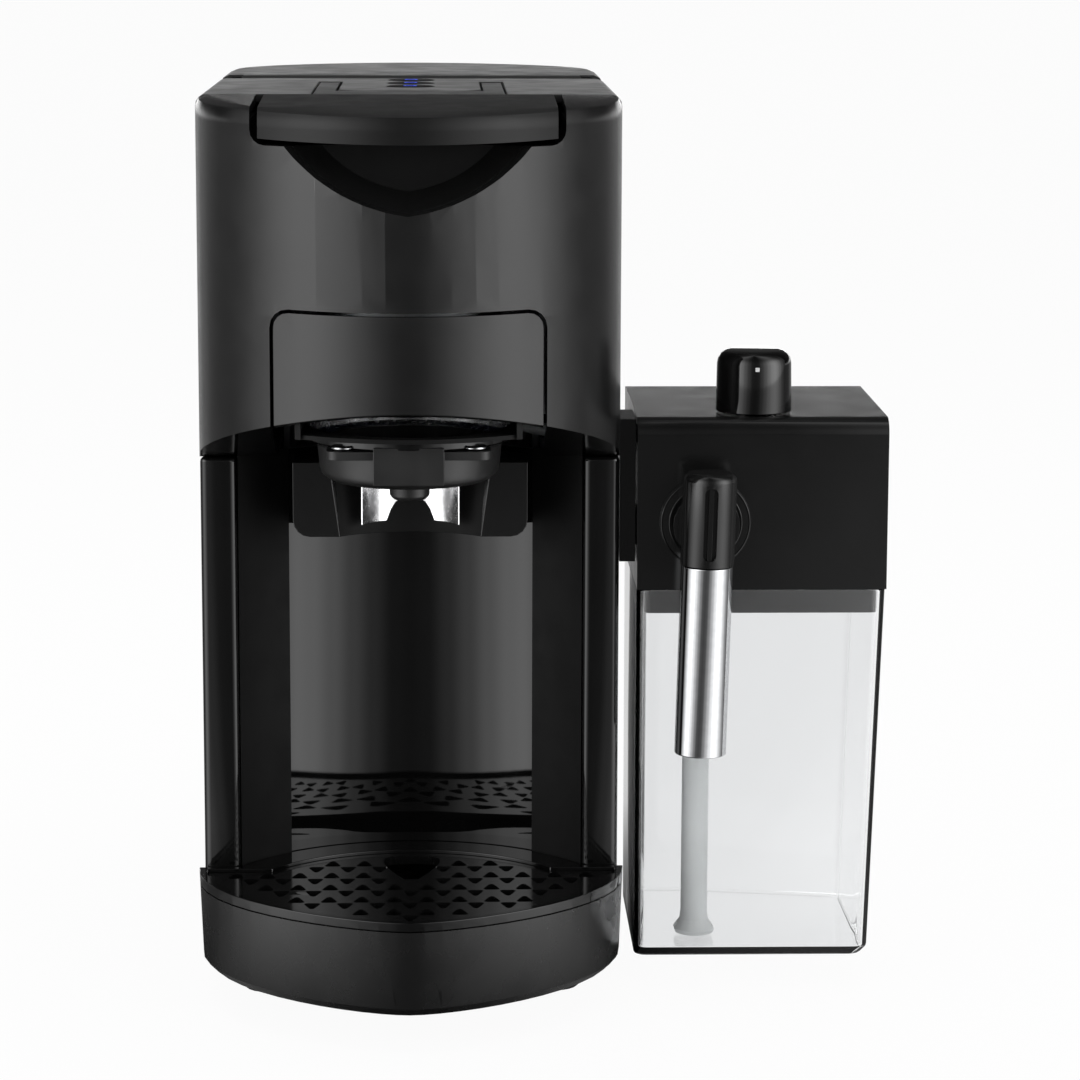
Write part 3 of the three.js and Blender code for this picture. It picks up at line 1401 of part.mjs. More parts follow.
function addCarafe() {
  add("carafe_dock", dock(), glossBlack);
  add("dock_seal", dockSeal(), rubber);
  add("steam_nozzle", steamNozzle(), steel);
  add("carafe_container", carafeContainer(), clear);
  add("carafe_lid", carafeLid(), glossBlack);
  add("lid_insert", lidInsert(), darkPlastic);
  add("froth_chamber", frothChamber(), darkPlastic);
  add("froth_knob", frothKnob(), glossBlack);
  add("suction_tube", suctionTube(), milkyPlastic);
  const lance = new THREE.Group();
  lance.position.set(swivelX, 0, swivelZ);
  lance.rotation.y = THREE.MathUtils.degToRad(lanceTilt);
  add("lance_elbow", elbow(), darkPlastic, lance);
  add("lance_sleeve", outletSleeve(), chrome, lance);
  machine.add(lance);
}

// ------------------------------------------------------------------ assembly
addBase();
addCasing();
addBackFittings();
addLeverAndButtons();
addPodDrawer();
addInnerParts();
addDripTray();
addWaterTank();
addCarafe();

const bounds = new THREE.Box3().setFromObject(machine);
const middle = bounds.getCenter(new THREE.Vector3());
machine.position.set(-middle.x, -middle.y, -bounds.min.z);

const part = new THREE.Group();
part.add(machine);

export default part;
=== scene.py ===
# %% [markdown]
# # A pod coffee machine, dressed from its own solids
#
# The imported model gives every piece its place, its size and the body it moves with.
# This lesson gives those pieces soft edges and real finishes, and builds the pieces whose
# looks need a form of their own. Everything is in metres, with +Z up and the front facing -Y.

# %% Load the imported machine
import json
import math

import bmesh
import bpy
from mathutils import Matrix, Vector
from mathutils.bvhtree import BVHTree


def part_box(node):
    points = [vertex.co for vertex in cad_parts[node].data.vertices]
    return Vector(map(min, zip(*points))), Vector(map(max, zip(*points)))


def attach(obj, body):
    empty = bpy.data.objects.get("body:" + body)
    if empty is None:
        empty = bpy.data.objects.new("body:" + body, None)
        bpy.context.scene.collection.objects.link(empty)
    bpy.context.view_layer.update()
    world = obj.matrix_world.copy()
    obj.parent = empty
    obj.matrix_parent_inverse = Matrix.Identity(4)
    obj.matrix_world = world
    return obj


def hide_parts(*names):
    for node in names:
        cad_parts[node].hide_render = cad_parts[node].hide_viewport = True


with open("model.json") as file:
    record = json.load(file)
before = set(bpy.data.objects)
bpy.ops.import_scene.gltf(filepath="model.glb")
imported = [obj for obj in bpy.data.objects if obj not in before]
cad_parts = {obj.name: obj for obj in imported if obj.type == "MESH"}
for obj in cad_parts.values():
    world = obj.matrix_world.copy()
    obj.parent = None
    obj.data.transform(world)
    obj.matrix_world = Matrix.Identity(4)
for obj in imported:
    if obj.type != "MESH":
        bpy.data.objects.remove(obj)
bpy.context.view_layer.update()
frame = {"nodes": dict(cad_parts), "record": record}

# %% [markdown]
# Sizes are easier to read in millimetres measured from the machine's own middle and from the
# front of its columns, so one helper turns such a place into a point of the model.

# %% Places measured from the machine's middle
MM = 0.001
base_low, base_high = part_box("base_pan")
MIDDLE_X = (base_low.x + base_high.x) / 2
FRONT_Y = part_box("column_left")[0].y


def at(x, y, z):
    """A place in millimetres from the machine's middle, its column fronts and the table."""
    return Vector((MIDDLE_X + x * MM, FRONT_Y + y * MM, z * MM))


print("middle and front, mm:", round(MIDDLE_X * 1000, 2), round(FRONT_Y * 1000, 2))

# %% [markdown]
# ## Camera
#
# A long lens a little over a metre away keeps the sides of the machine nearly upright while the
# top plate still shows. The camera is turned down to face the machine, with hardly any shift.

# %% Place the camera
camera_data = bpy.data.cameras.new("camera")
camera_data.lens = 115.1
camera_data.sensor_width = 36.0
camera_data.shift_y = -0.05
camera = bpy.data.objects.new("camera", camera_data)
camera.location = at(9.85, -1218.6, 388.3)
camera.rotation_euler = [math.radians(v) for v in (80.605, -0.171, -1.69)]
bpy.context.scene.collection.objects.link(camera)
bpy.context.scene.camera = camera
print("camera at, mm:", [round(v * 1000) for v in camera.location])

# %% [markdown]
# ## Finishes
#
# Moulded plastic is never one flat colour: the pellets flow unevenly, so its tone and its
# polish drift slowly, and a satin mould leaves a fine even grain. One helper makes all of the
# plastics from those three things, each at its own scale, with a noise read in object space.


# %% A helper for node trees
def wired(material, kind, at_x=0, at_y=0, **inputs):
    """Adds a node of that kind to a material and sets its inputs."""
    node = material.node_tree.nodes.new(kind)
    node.location = (at_x, at_y)
    for key, value in inputs.items():
        node.inputs[key.replace("_", " ")].default_value = value
    return node


def blank(name):
    """A new material that holds only a Principled shader, which is returned with it."""
    material = bpy.data.materials.new(name)
    material.use_nodes = True
    shader = material.node_tree.nodes["Principled BSDF"]
    return material, shader


def noise_in(material, scale, detail=2.0, stretch=(1, 1, 1), column=-900):
    """A noise read in object space; stretch squeezes it along an axis."""
    tree = material.node_tree
    place = wired(material, "ShaderNodeTexCoord", column - 400)
    turn = wired(material, "ShaderNodeMapping", column - 200)
    turn.inputs["Scale"].default_value = stretch
    noise = wired(material, "ShaderNodeTexNoise", column)
    noise.inputs["Scale"].default_value = scale
    noise.inputs["Detail"].default_value = detail
    tree.links.new(place.outputs["Object"], turn.inputs["Vector"])
    tree.links.new(turn.outputs["Vector"], noise.inputs["Vector"])
    return noise


def spread(material, source, low, high, socket, start=0.35, end=0.65):
    """Maps a noise onto the range from low to high and feeds it to a shader's socket."""
    ramp = wired(material, "ShaderNodeMapRange", -600)
    ramp.inputs["From Min"].default_value = start
    ramp.inputs["From Max"].default_value = end
    ramp.inputs["To Min"].default_value = low
    ramp.inputs["To Max"].default_value = high
    material.node_tree.links.new(source.outputs["Fac"], ramp.inputs["Value"])
    material.node_tree.links.new(ramp.outputs["Result"], socket)


def tinted(material, source, dark, light, socket, start=0.3, end=0.7):
    """Maps a noise onto two colours and feeds it to a shader's socket."""
    ramp = wired(material, "ShaderNodeValToRGB", -600, 200)
    ramp.color_ramp.elements[0].position = start
    ramp.color_ramp.elements[0].color = (*dark, 1)
    ramp.color_ramp.elements[1].position = end
    ramp.color_ramp.elements[1].color = (*light, 1)
    material.node_tree.links.new(source.outputs["Fac"], ramp.inputs["Fac"])
    material.node_tree.links.new(ramp.outputs["Color"], socket)


def grained(material, shader, scale, depth, strength=1.0, stretch=(1, 1, 1)):
    """A fine bump of that depth, in metres, from a noise of its own."""
    noise = noise_in(material, scale, 3.0, stretch, -700)
    bump = wired(material, "ShaderNodeBump", -300, -300)
    bump.inputs["Strength"].default_value = strength
    bump.inputs["Distance"].default_value = depth
    material.node_tree.links.new(noise.outputs["Fac"], bump.inputs["Height"])
    material.node_tree.links.new(bump.outputs["Normal"], shader.inputs["Normal"])


print("node helpers are ready")


# %% Moulded plastics
def moulded(name, dark, light, rough, grain=0.0, grain_scale=2600, level=0.5):
    """A plastic whose tone runs from dark to light and whose roughness covers that range."""
    material, shader = blank(name)
    shader.inputs["Specular IOR Level"].default_value = level
    drift = noise_in(material, 38)
    tinted(material, drift, dark, light, shader.inputs["Base Color"])
    polish = noise_in(material, 90, 4.0)
    spread(material, polish, rough[0], rough[1], shader.inputs["Roughness"])
    if grain:
        grained(material, shader, grain_scale, grain)
    return material


satin_black = moulded("satin black", (0.0065,) * 3, (0.0085,) * 3, (0.21, 0.26), 0.000012)
satin_top = moulded("satin grey black", (0.015,) * 3, (0.019,) * 3, (0.33, 0.40), 0.00002)
gloss_black = moulded("gloss black", (0.0025,) * 3, (0.0035,) * 3, (0.06, 0.09))
lid_black = moulded("lid black", (0.0055,) * 3, (0.0075,) * 3, (0.13, 0.17), level=0.42)
grid_black = moulded("grid black", (0.004,) * 3, (0.006,) * 3, (0.1, 0.15), level=0.9)
wall_black = moulded("splash wall black", (0.002,) * 3, (0.003,) * 3, (0.02, 0.035))
matt_black = moulded("matt black", (0.0025,) * 3, (0.004,) * 3, (0.55, 0.65), 0.00002, 2600, 0.15)
# The lever's two tops are painted a lighter black than its sides, standing in for light from above.
bar_top_painted_light = moulded("lever top painted lighter", (0.011,) * 3, (0.014,) * 3, (0.45, 0.52), 0.00002, 2600, 0.2)
lever_black = moulded("lever black", (0.0075,) * 3, (0.0095,) * 3, (0.28, 0.34), 0.000012, 2600, 0.2)
panel_top_painted_light = moulded("lever panel top painted lighter", (0.013,) * 3, (0.016,) * 3, (0.42, 0.48), 0.00002, 2600, 0.36)
button_black = moulded("button black", (0.004,) * 3, (0.006,) * 3, (0.5, 0.6), 0.00001, 2600, 0.04)
cowl_black = moulded("cowl black", (0.008,) * 3, (0.010,) * 3, (0.1, 0.14))
dark_plastic = moulded("dark plastic", (0.0095,) * 3, (0.0125,) * 3, (0.36, 0.44), 0.00002)
tray_black = moulded("tray black", (0.006,) * 3, (0.008,) * 3, (0.24, 0.3), 0.00001, 2600)
rubber = moulded("rubber", (0.008,) * 3, (0.014,) * 3, (0.7, 0.85), 0.00003, 1800)
milky_tube = moulded("milky tube", (0.58, 0.6, 0.6), (0.66, 0.68, 0.68), (0.3, 0.4))
circuit_green = moulded("circuit green", (0.004, 0.05, 0.014), (0.008, 0.09, 0.025), (0.4, 0.5))
print("plastics:", len(bpy.data.materials))


# %% [markdown]
# Metals are told apart by how they are finished: a plated sleeve is a clean mirror, a turned or
# brushed part carries fine lines along the way the tool moved, and a casting is blotchy.


# %% Metals
def metal(name, dark, light, rough, stretch=(1, 1, 1), scale=400, lines=0.0):
    """A bare metal, with lines drawn out along the axis where stretch is smallest."""
    material, shader = blank(name)
    shader.inputs["Metallic"].default_value = 1.0
    drift = noise_in(material, scale, 3.0, stretch)
    tinted(material, drift, dark, light, shader.inputs["Base Color"])
    spread(material, drift, rough[0], rough[1], shader.inputs["Roughness"])
    if lines:
        grained(material, shader, scale * 2, lines, 1.0, stretch)
    return material


chrome = metal("chrome", (0.47, 0.475, 0.485), (0.51, 0.515, 0.525), (0.02, 0.035))
bright_steel = metal("polished steel", (0.82, 0.82, 0.83), (0.88, 0.88, 0.89), (0.2, 0.28))
steel = metal(
    "drawn steel", (0.3, 0.31, 0.32), (0.4, 0.41, 0.42), (0.28, 0.4), (1, 1, 0.02), 900, 0.00001,
)
cast_aluminium = metal(
    "cast aluminium", (0.4, 0.41, 0.42), (0.5, 0.51, 0.52), (0.4, 0.55), scale=260, lines=0.00004,
)
print("metals:", chrome.name, steel.name, cast_aluminium.name)


# %% [markdown]
# Clear plastics are real walls with an inside and an outside face, so the light bends twice and
# the edges gather grey by themselves. The tank is the same plastic with smoke in it.


# %% Clear plastics and the lit guide
def see_through(name, colour, rough, ior):
    """A clear plastic; its roughness drifts a little, as handled plastic does."""
    material, shader = blank(name)
    shader.inputs["Base Color"].default_value = (*colour, 1)
    shader.inputs["Transmission Weight"].default_value = 1.0
    shader.inputs["IOR"].default_value = ior
    spread(material, noise_in(material, 60, 3.0), rough[0], rough[1], shader.inputs["Roughness"])
    return material


clear_plastic = see_through("clear plastic", (0.885, 0.89, 0.895), (0.0, 0.02), 1.45)
smoke_plastic = see_through("smoked plastic", (0.22, 0.23, 0.25), (0.02, 0.06), 1.4)

blue_glow, glow_shader = blank("blue light guide")
glow_shader.inputs["Base Color"].default_value = (0.01, 0.03, 0.3, 1)
glow_shader.inputs["Emission Color"].default_value = (0.02, 0.08, 1.0, 1)
spread(blue_glow, noise_in(blue_glow, 500), 0.03, 0.06, glow_shader.inputs["Emission Strength"])
print("clear plastics:", clear_plastic.name, smoke_plastic.name)

# %% [markdown]
# ## Soft edges on the machine's own solids
#
# The solids have knife edges and flat facets. A moulded piece has edges rounded by a few tenths
# of a millimetre, and those roundings are what catch the light. A copy of each solid is merged,
# its flat faces joined and its sharp edges bevelled. The normal at each corner comes from the
# broad faces around it, so that those stay flat and facets blend. The copy then stands for the
# solid.


# %% A helper that dresses a solid
NARROW = 0.75  # millimetres; a face narrower than this is the rounding of an edge
ROUNDING_WEIGHT = 0.001  # what such a face counts for beside a broad one
ROUNDING_CREASE = 50.0  # degrees; a rounding blends with its neighbours up to this angle


def width_of(face, mesh):
    """How wide a face is across its longest side, in millimetres."""
    corners = [mesh.vertices[v].co for v in face.vertices]
    longest = max((a - b).length for a, b in zip(corners, corners[1:] + corners[:1]))
    return face.area / longest / MM


def evened(mesh, crease):
    """Turns each corner's normal to the mean of the broad faces that meet there softly."""
    facing = [face.normal.copy() for face in mesh.polygons]
    broad = [width_of(face, mesh) > NARROW for face in mesh.polygons]
    around = [[] for _ in mesh.vertices]
    for face in mesh.polygons:
        for vert in face.vertices:
            around[vert].append(face.index)
    normals = []
    for face in mesh.polygons:
        for vert in face.vertices:
            mean = Vector()
            for other in around[vert]:
                both_broad = broad[other] and broad[face.index]
                limit = math.cos(math.radians(crease if both_broad else ROUNDING_CREASE))
                if facing[other].dot(facing[face.index]) > limit:
                    mean += facing[other] * (1.0 if broad[other] else ROUNDING_WEIGHT)
            normals.append(mean.normalized())
    mesh.normals_split_custom_set(normals)


def settled(form, name, body, finish, crease=30.0):
    """Turns a finished bmesh into a piece that rides on a body, smooth across soft edges."""
    for face in form.faces:
        face.smooth = True
    mesh = bpy.data.meshes.new(name)
    form.to_mesh(mesh)
    form.free()
    evened(mesh, crease)
    piece = bpy.data.objects.new(name, mesh)
    bpy.context.scene.collection.objects.link(piece)
    piece.data.materials.append(finish)
    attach(piece, body)
    return piece


def slot_of(node):
    """The record's material slot for a node."""
    return next(s["material_slot"] for s in frame["record"]["subparts"] if s["node"] == node)


def body_of(node):
    """The body that a node moves with."""
    bodies = frame["record"]["behaviour"]["bodies"]
    return next(body for body, nodes in bodies.items() if node in nodes)


def copied(node):
    """A merged copy of a node's mesh, with its flat faces joined."""
    form = bmesh.new()
    form.from_mesh(frame["nodes"][node].data)
    bmesh.ops.remove_doubles(form, verts=form.verts, dist=2e-6)
    bmesh.ops.dissolve_limit(
        form, angle_limit=math.radians(0.2), use_dissolve_boundaries=False,
        verts=form.verts, edges=form.edges,
    )
    return form


def dressed(node, finish, edge=0.5, crease=28.0, segments=2, form=None):
    """A copy of a node with its sharp edges rounded by edge millimetres."""
    form = form or copied(node)
    sharp = [
        e for e in form.edges
        if e.is_manifold and e.calc_face_angle() > math.radians(crease)
    ]
    if edge:
        bmesh.ops.bevel(
            form, geom=sharp, offset=edge * MM, offset_type="OFFSET", segments=segments,
            profile=0.5, affect="EDGES", clamp_overlap=True, material=-1,
        )
    piece = settled(form, node + "_skin", body_of(node), finish)
    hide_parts(node)
    return piece


def cut_at(form, place, direction):
    """Splits every face of a form along a plane."""
    everything = form.verts[:] + form.edges[:] + form.faces[:]
    bmesh.ops.bisect_plane(form, geom=everything, plane_co=place, plane_no=direction, dist=1e-6)


def sliced(node, pitch=9.0):
    """A merged copy cut into level bands, so that its curved walls shade evenly."""
    form = copied(node)
    low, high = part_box(node)
    bands = round((high.z - low.z) / MM / pitch)
    for band in range(1, bands):
        cut_at(form, low + (high - low) * band / bands, (0, 0, 1))
    return form


# %% Dress every solid
FINISHES = {
    "satin_black": satin_black, "satin_top": satin_top, "gloss_black": gloss_black,
    "dark_plastic": dark_plastic, "rubber": rubber, "chrome": chrome, "steel": steel,
    "aluminium": cast_aluminium, "clear_plastic": clear_plastic,
    "smoke_plastic": smoke_plastic, "milky_plastic": milky_tube, "blue_glow": blue_glow,
    "circuit_green": circuit_green,
}
# Pieces whose polish differs from the rest of their slot.
OWN_FINISH = {
    "button_1": button_black, "button_2": button_black, "button_3": button_black,
    "drip_grid": grid_black, "drip_tray": tray_black,
    "pod_carriage": matt_black, "carafe_lid": lid_black, "lance_elbow": lid_black,
}
# Edge rounding in millimetres where it isn't the usual half millimetre.
EDGE = {
    "front_housing": 0.8, "drawer_front": 0.9, "column_left": 1.8, "column_right": 1.8,
    "spout_cowl": 2.6, "finger_scoop": 0.8, "tank_lid": 0.4, "lever": 0.8,
    "carafe_lid": 1.2, "pod_holder": 0.8, "pod_carriage": 0.6, "drip_tray": 0.4,
    "tray_rim": 0.5, "drip_grid": 0.25,
}
CREASE = {"drip_tray": 50.0, "tray_rim": 45.0, "drip_grid": 50.0}
LATER = {
    "splash_wall", "pod_seat", "lever", "front_housing", "spout_cowl", "base_pan", "body_shell",
    "finger_scoop",
}
SLICED = {"drawer_front", "drip_tray", "rear_shell", "tank_lid"}
for node in sorted(set(frame["nodes"]) - LATER):
    finish = OWN_FINISH.get(node, FINISHES[slot_of(node)])
    form = sliced(node) if node in SLICED else copied(node)
    edge = EDGE.get(node, 0.5)
    skin = dressed(node, finish, edge, CREASE.get(node, 28.0), 4 if edge > 1 else 2, form)
    print(node, len(skin.data.polygons))

# %% [markdown]
# ## Splash wall
#
# The wall behind the cup is one polished sheet between two matt strips that run up beside the
# columns. Cutting the copy along the strips' edges and giving the outer faces a finish of their
# own keeps it one piece.


# %% Splash wall
SHEET_HALF = 44.3
wall_form = copied("splash_wall")
for side in (-1, 1):
    cut_at(wall_form, at(side * SHEET_HALF, 0, 0), (1, 0, 0))
for face in wall_form.faces:
    if abs(face.calc_center_median().x - MIDDLE_X) > SHEET_HALF * MM:
        face.material_index = 1
wall = dressed("splash_wall", wall_black, 0, form=wall_form)
wall.data.materials.append(matt_black)
print("splash wall faces:", len(wall.data.polygons))

# %% [markdown]
# ## Lever and head
#
# The lever's bar has a matter top than the panel behind it, and both tops are painted a lighter
# black than its sides, a painted top light. The underside of the head is polished. Each is told
# apart by the way its faces point.

# %% Lever and head
UNDERSIDE_TILT = -0.12  # a face of the head that points lower than this is its underside
lever_form = sliced("lever", 4.0)
cut_at(lever_form, at(0, -1, 0), (0, 1, 0))
# Faces that point up take the lighter tops: painted top light over the lever's own black.
for face in lever_form.faces:
    if face.normal.z > 0.9:
        is_bar = face.calc_center_median().y < FRONT_Y - 1 * MM
        face.material_index = 1 if is_bar else 2
lever = dressed("lever", lever_black, EDGE["lever"], form=lever_form)
lever.data.materials.append(bar_top_painted_light)
lever.data.materials.append(panel_top_painted_light)

# The scoop is matt, and only its rounded edges keep their polish and catch the light.
scoop = dressed("finger_scoop", matt_black, EDGE["finger_scoop"])
scoop.data.materials.append(gloss_black)
for face in scoop.data.polygons:
    if width_of(face, scoop.data) < NARROW:
        face.material_index = 1

head_form = sliced("front_housing", 8.0)
for face in head_form.faces:
    if face.normal.z < UNDERSIDE_TILT:
        face.material_index = 1
head = dressed("front_housing", satin_black, EDGE["front_housing"], form=head_form)
head.data.materials.append(gloss_black)
print("lever faces:", len(lever.data.polygons), "head faces:", len(head.data.polygons))

# %% [markdown]
# ## Cowl, pan and panel
#
# The niche in the cowl is polished darker than its face. The pan's tongue under the tray has
# rounded corners and its flanks draw in towards the table, so it stays out of sight from the
# front. The panel in front of the tank lid
# falls away a little at its rear edge, which leaves the lid's front edge showing as a line.

# %% Cowl, pan and panel
NICHE_SETBACK = 1.5  # millimetres behind the column fronts
TONGUE_ROUND = 16.0
DRAW_IN_FROM = 60.0  # the flanks draw in beyond this distance from the middle
DRAW_IN_SHARE = 0.2
SEAM_DROP = 0.9
SEAM_RUN = 20.0  # the length over which the panel falls away

cowl_form = copied("spout_cowl")
for face in cowl_form.faces:
    if face.calc_center_median().y > FRONT_Y + NICHE_SETBACK * MM:
        face.material_index = 1
cowl = dressed("spout_cowl", cowl_black, EDGE["spout_cowl"], form=cowl_form, segments=6)
cowl.data.materials.append(matt_black)

pan_form = copied("base_pan")
tongue_front = base_low.y + 1 * MM
corners = [
    e for e in pan_form.edges
    if abs((e.verts[0].co - e.verts[1].co).z) > 1 * MM
    and abs((e.verts[0].co - e.verts[1].co).x) < 0.1 * MM
    and e.verts[0].co.y < tongue_front and e.verts[1].co.y < tongue_front
]
bmesh.ops.bevel(
    pan_form, geom=corners, offset=TONGUE_ROUND * MM, offset_type="OFFSET", segments=8,
    profile=0.5, affect="EDGES", clamp_overlap=True, material=-1,
)
for vert in pan_form.verts:
    aside = vert.co.x - MIDDLE_X
    if vert.co.z < base_low.z + 0.5 * MM and abs(aside) > DRAW_IN_FROM * MM:
        vert.co.x -= math.copysign((abs(aside) - DRAW_IN_FROM * MM) * DRAW_IN_SHARE, aside)
dressed("base_pan", satin_black, 0.5, form=pan_form)

shell_form = copied("body_shell")
shell_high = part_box("body_shell")[1]
cut_at(shell_form, Vector((0, shell_high.y - SEAM_RUN * MM, 0)), (0, 1, 0))
for vert in shell_form.verts:
    if vert.co.y > shell_high.y - 3 * MM and vert.co.z > shell_high.z - 12 * MM:
        vert.co.z -= SEAM_DROP * MM
dressed("body_shell", satin_top, 0.4, form=shell_form)
print("tongue corners rounded:", len(corners))

# %% [markdown]
# ## Pod seat
#
# The seat is a turned steel cup with a low upright wall, and that wall is what shines through
# the gap under the drawer front. Half of its section is drawn as a loop of edges and spun
# round the pod's axis.


# %% Pod seat
def spun(section, axis, steps=96):
    """Spins a closed section of (radius, height) millimetres round an upright axis."""
    form = bmesh.new()
    points = [form.verts.new(axis + Vector((r * MM, 0, z * MM))) for r, z in section]
    edges = [form.edges.new(pair) for pair in zip(points, points[1:] + points[:1])]
    bmesh.ops.spin(
        form, geom=points + edges, cent=axis, axis=(0, 0, 1), angle=math.tau, steps=steps,
        use_merge=True,
    )
    bmesh.ops.remove_doubles(form, verts=form.verts, dist=1e-6)
    bmesh.ops.recalc_face_normals(form, faces=form.faces)
    return form


seat_low, seat_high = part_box("pod_seat")
seat_axis = Vector(((seat_low.x + seat_high.x) / 2, (seat_low.y + seat_high.y) / 2, seat_low.z))
seat_radius = (seat_high.x - seat_low.x) / 2 / MM
seat_depth = (seat_high.z - seat_low.z) / MM
seat_form = spun([
    (seat_radius, 0.6), (seat_radius, seat_depth), (seat_radius - 0.8, seat_depth),
    (seat_radius - 1.3, seat_depth - 0.5), (seat_radius - 1.5, 1.0), (29.0, 0.5),
    (28.3, 0.3), (28.3, 0), (seat_radius - 0.6, 0),
], seat_axis)
for face in seat_form.faces:
    away = face.calc_center_median() - seat_axis
    if Vector((away.x, away.y, 0)).length > (seat_radius - 0.5) * MM:
        face.material_index = 1
seat = settled(seat_form, "pod_seat_cup", body_of("pod_seat"), bright_steel)
seat.data.materials.append(gloss_black)
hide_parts("pod_seat")
print("seat radius, mm:", round(seat_radius, 1))

# %% [markdown]
# ## Steel plate behind the spout
#
# A bright steel plate lines the niche behind the spout. It is part of a hollow cylinder, so it
# is made from one upright edge that is spun through the angle that the niche shows, and then
# given its thickness.

# %% Steel plate behind the spout
PLATE_RADIUS = 19.0
PLATE_HALF = 17.5
PLATE_HEIGHTS = (172.5, 190)
PLATE_SHEET = 0.4
plate_form = bmesh.new()
plate_turn = math.asin(PLATE_HALF / PLATE_RADIUS)
plate_centre = at(0, -6.5, 0)
plate_start = Vector((-math.sin(plate_turn), math.cos(plate_turn), 0)) * PLATE_RADIUS * MM
ends = [
    plate_form.verts.new(plate_centre + plate_start + Vector((0, 0, z * MM)))
    for z in PLATE_HEIGHTS
]
plate_edge = plate_form.edges.new(ends)
bmesh.ops.spin(
    plate_form, geom=ends + [plate_edge], cent=plate_centre, axis=(0, 0, -1),
    angle=2 * plate_turn, steps=24,
)
bmesh.ops.recalc_face_normals(plate_form, faces=plate_form.faces)
bmesh.ops.solidify(plate_form, geom=plate_form.faces, thickness=PLATE_SHEET * MM)
plate = settled(plate_form, "spout_plate", body_of("spout_cowl"), bright_steel)
print("plate faces:", len(plate.data.polygons))

# %% [markdown]
# ## Marks that light up and marks that point
#
# Each button has a thin ring set in its top, lit blue from the light guide below. The knob has
# a small white bar in its side that shows how far it is turned.

# %% Button rings and knob mark
RING_INSIDE, RING_OUTSIDE = 1.7, 2.5
RING_SUNK, RING_PROUD = -0.2, 0.02
MARK_SIZE = Vector((1.5, 0.6, 1.5))
MARK_DROP = 6  # below the knob's top
MARK_SUNK = 0.1
MARK_EDGE = 0.15

ring_glow, ring_shader = blank("lit ring")
ring_shader.inputs["Base Color"].default_value = (0.01, 0.03, 0.3, 1)
ring_shader.inputs["Emission Color"].default_value = (0.03, 0.1, 1.0, 1)
spread(ring_glow, noise_in(ring_glow, 900), 0.8, 1.2, ring_shader.inputs["Emission Strength"])
mark_white = moulded("mark white", (0.6,) * 3, (0.7,) * 3, (0.3, 0.4))

for node in ("button_1", "button_2", "button_3"):
    low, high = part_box(node)
    top = Vector(((low.x + high.x) / 2, (low.y + high.y) / 2, high.z))
    ring_form = spun([
        (RING_INSIDE, RING_SUNK), (RING_OUTSIDE, RING_SUNK),
        (RING_OUTSIDE, RING_PROUD), (RING_INSIDE, RING_PROUD),
    ], top, 48)
    ring = settled(ring_form, node + "_ring", body_of(node), ring_glow)

knob_low, knob_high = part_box("froth_knob")
mark_form = bmesh.new()
bmesh.ops.create_cube(mark_form, size=1.0)
bmesh.ops.scale(mark_form, vec=MARK_SIZE * MM, verts=mark_form.verts)
mark_from = Vector(((knob_low.x + knob_high.x) / 2, knob_low.y - 1, knob_high.z - MARK_DROP * MM))
knob_form = copied("froth_knob")
knob_skin = BVHTree.FromBMesh(knob_form)
mark_place = knob_skin.ray_cast(mark_from, Vector((0, 1, 0)))[0] + Vector((0, MARK_SUNK * MM, 0))
knob_form.free()
bmesh.ops.translate(mark_form, vec=mark_place, verts=mark_form.verts)
bmesh.ops.bevel(
    mark_form, geom=mark_form.edges[:], offset=MARK_EDGE * MM, segments=2, profile=0.5,
    affect="EDGES", material=-1,
)
mark = settled(mark_form, "knob_mark", body_of("froth_knob"), mark_white)
print("rings: 3, knob mark at, mm:", [round(v * 1000, 1) for v in mark_place])

# %% [markdown]
# ## Collar beads
#
# The collar that the milk elbow turns in has two fine polished beads moulded on its face. Each
# is a small circle spun round the elbow's axis, and it moves with the carafe's lid.

# %% Collar beads
BEAD_CIRCLES = (12.9, 15.8)
BEAD_RADIUS = 0.3
swivel = at(105.6, -4.2, 173.7)
bead_form = bmesh.new()
for radius in BEAD_CIRCLES:
    loop = bmesh.ops.create_circle(bead_form, segments=12, radius=BEAD_RADIUS * MM)["verts"]
    bmesh.ops.translate(bead_form, vec=swivel + Vector((radius * MM, 0, 0)), verts=loop)
    rims = list({edge for vert in loop for edge in vert.link_edges})
    bmesh.ops.spin(
        bead_form, geom=loop + rims, cent=swivel, axis=(0, 1, 0), angle=math.tau, steps=72,
        use_merge=True,
    )
bmesh.ops.recalc_face_normals(bead_form, faces=bead_form.faces)
beads = settled(bead_form, "collar_beads", body_of("carafe_lid"), gloss_black)
print("bead faces:", len(beads.data.polygons))

# %% [markdown]
# ## Floor and light
#
# A product studio is a white sweep with tall soft panels at the front left and right, and black
# cloth round the camera. Glossy black plastic shows little but what it mirrors, so the room that
# mirrors see matters more than the lamps. One curve gives its brightness all the way round the
# machine: dark behind the camera, brightest about 65 degrees to either side, dim at the flanks
# and white behind. The floor and the world both read that curve, so a mirror shows no horizon.


# %% The room as mirrors see it
def joined(tree, kind, *sources, **settings):
    """Adds a node, sets it up, and links the sources to its inputs in order."""
    node = tree.nodes.new(kind)
    for key, value in settings.items():
        setattr(node, key, value)
    for slot, source in enumerate(sources):
        if isinstance(source, (int, float)):
            node.inputs[slot].default_value = source
        else:
            tree.links.new(source, node.inputs[slot])
    return node.outputs[0]


def sum_of(tree, operation, *sources):
    """A Math node's result."""
    return joined(tree, "ShaderNodeMath", *sources, operation=operation)


# Degrees away from straight in front, and how bright the room is there.
ROOM = [
    (0, 0.08), (9, 0.11), (20, 0.4), (31, 0.9), (42, 1.65), (54, 2.35), (63, 2.5),
    (72, 2.0), (82, 1.2), (92, 0.5), (102, 0.2), (120, 0.17), (150, 0.4), (170, 0.8),
]
ROOM_FULL = 2.5


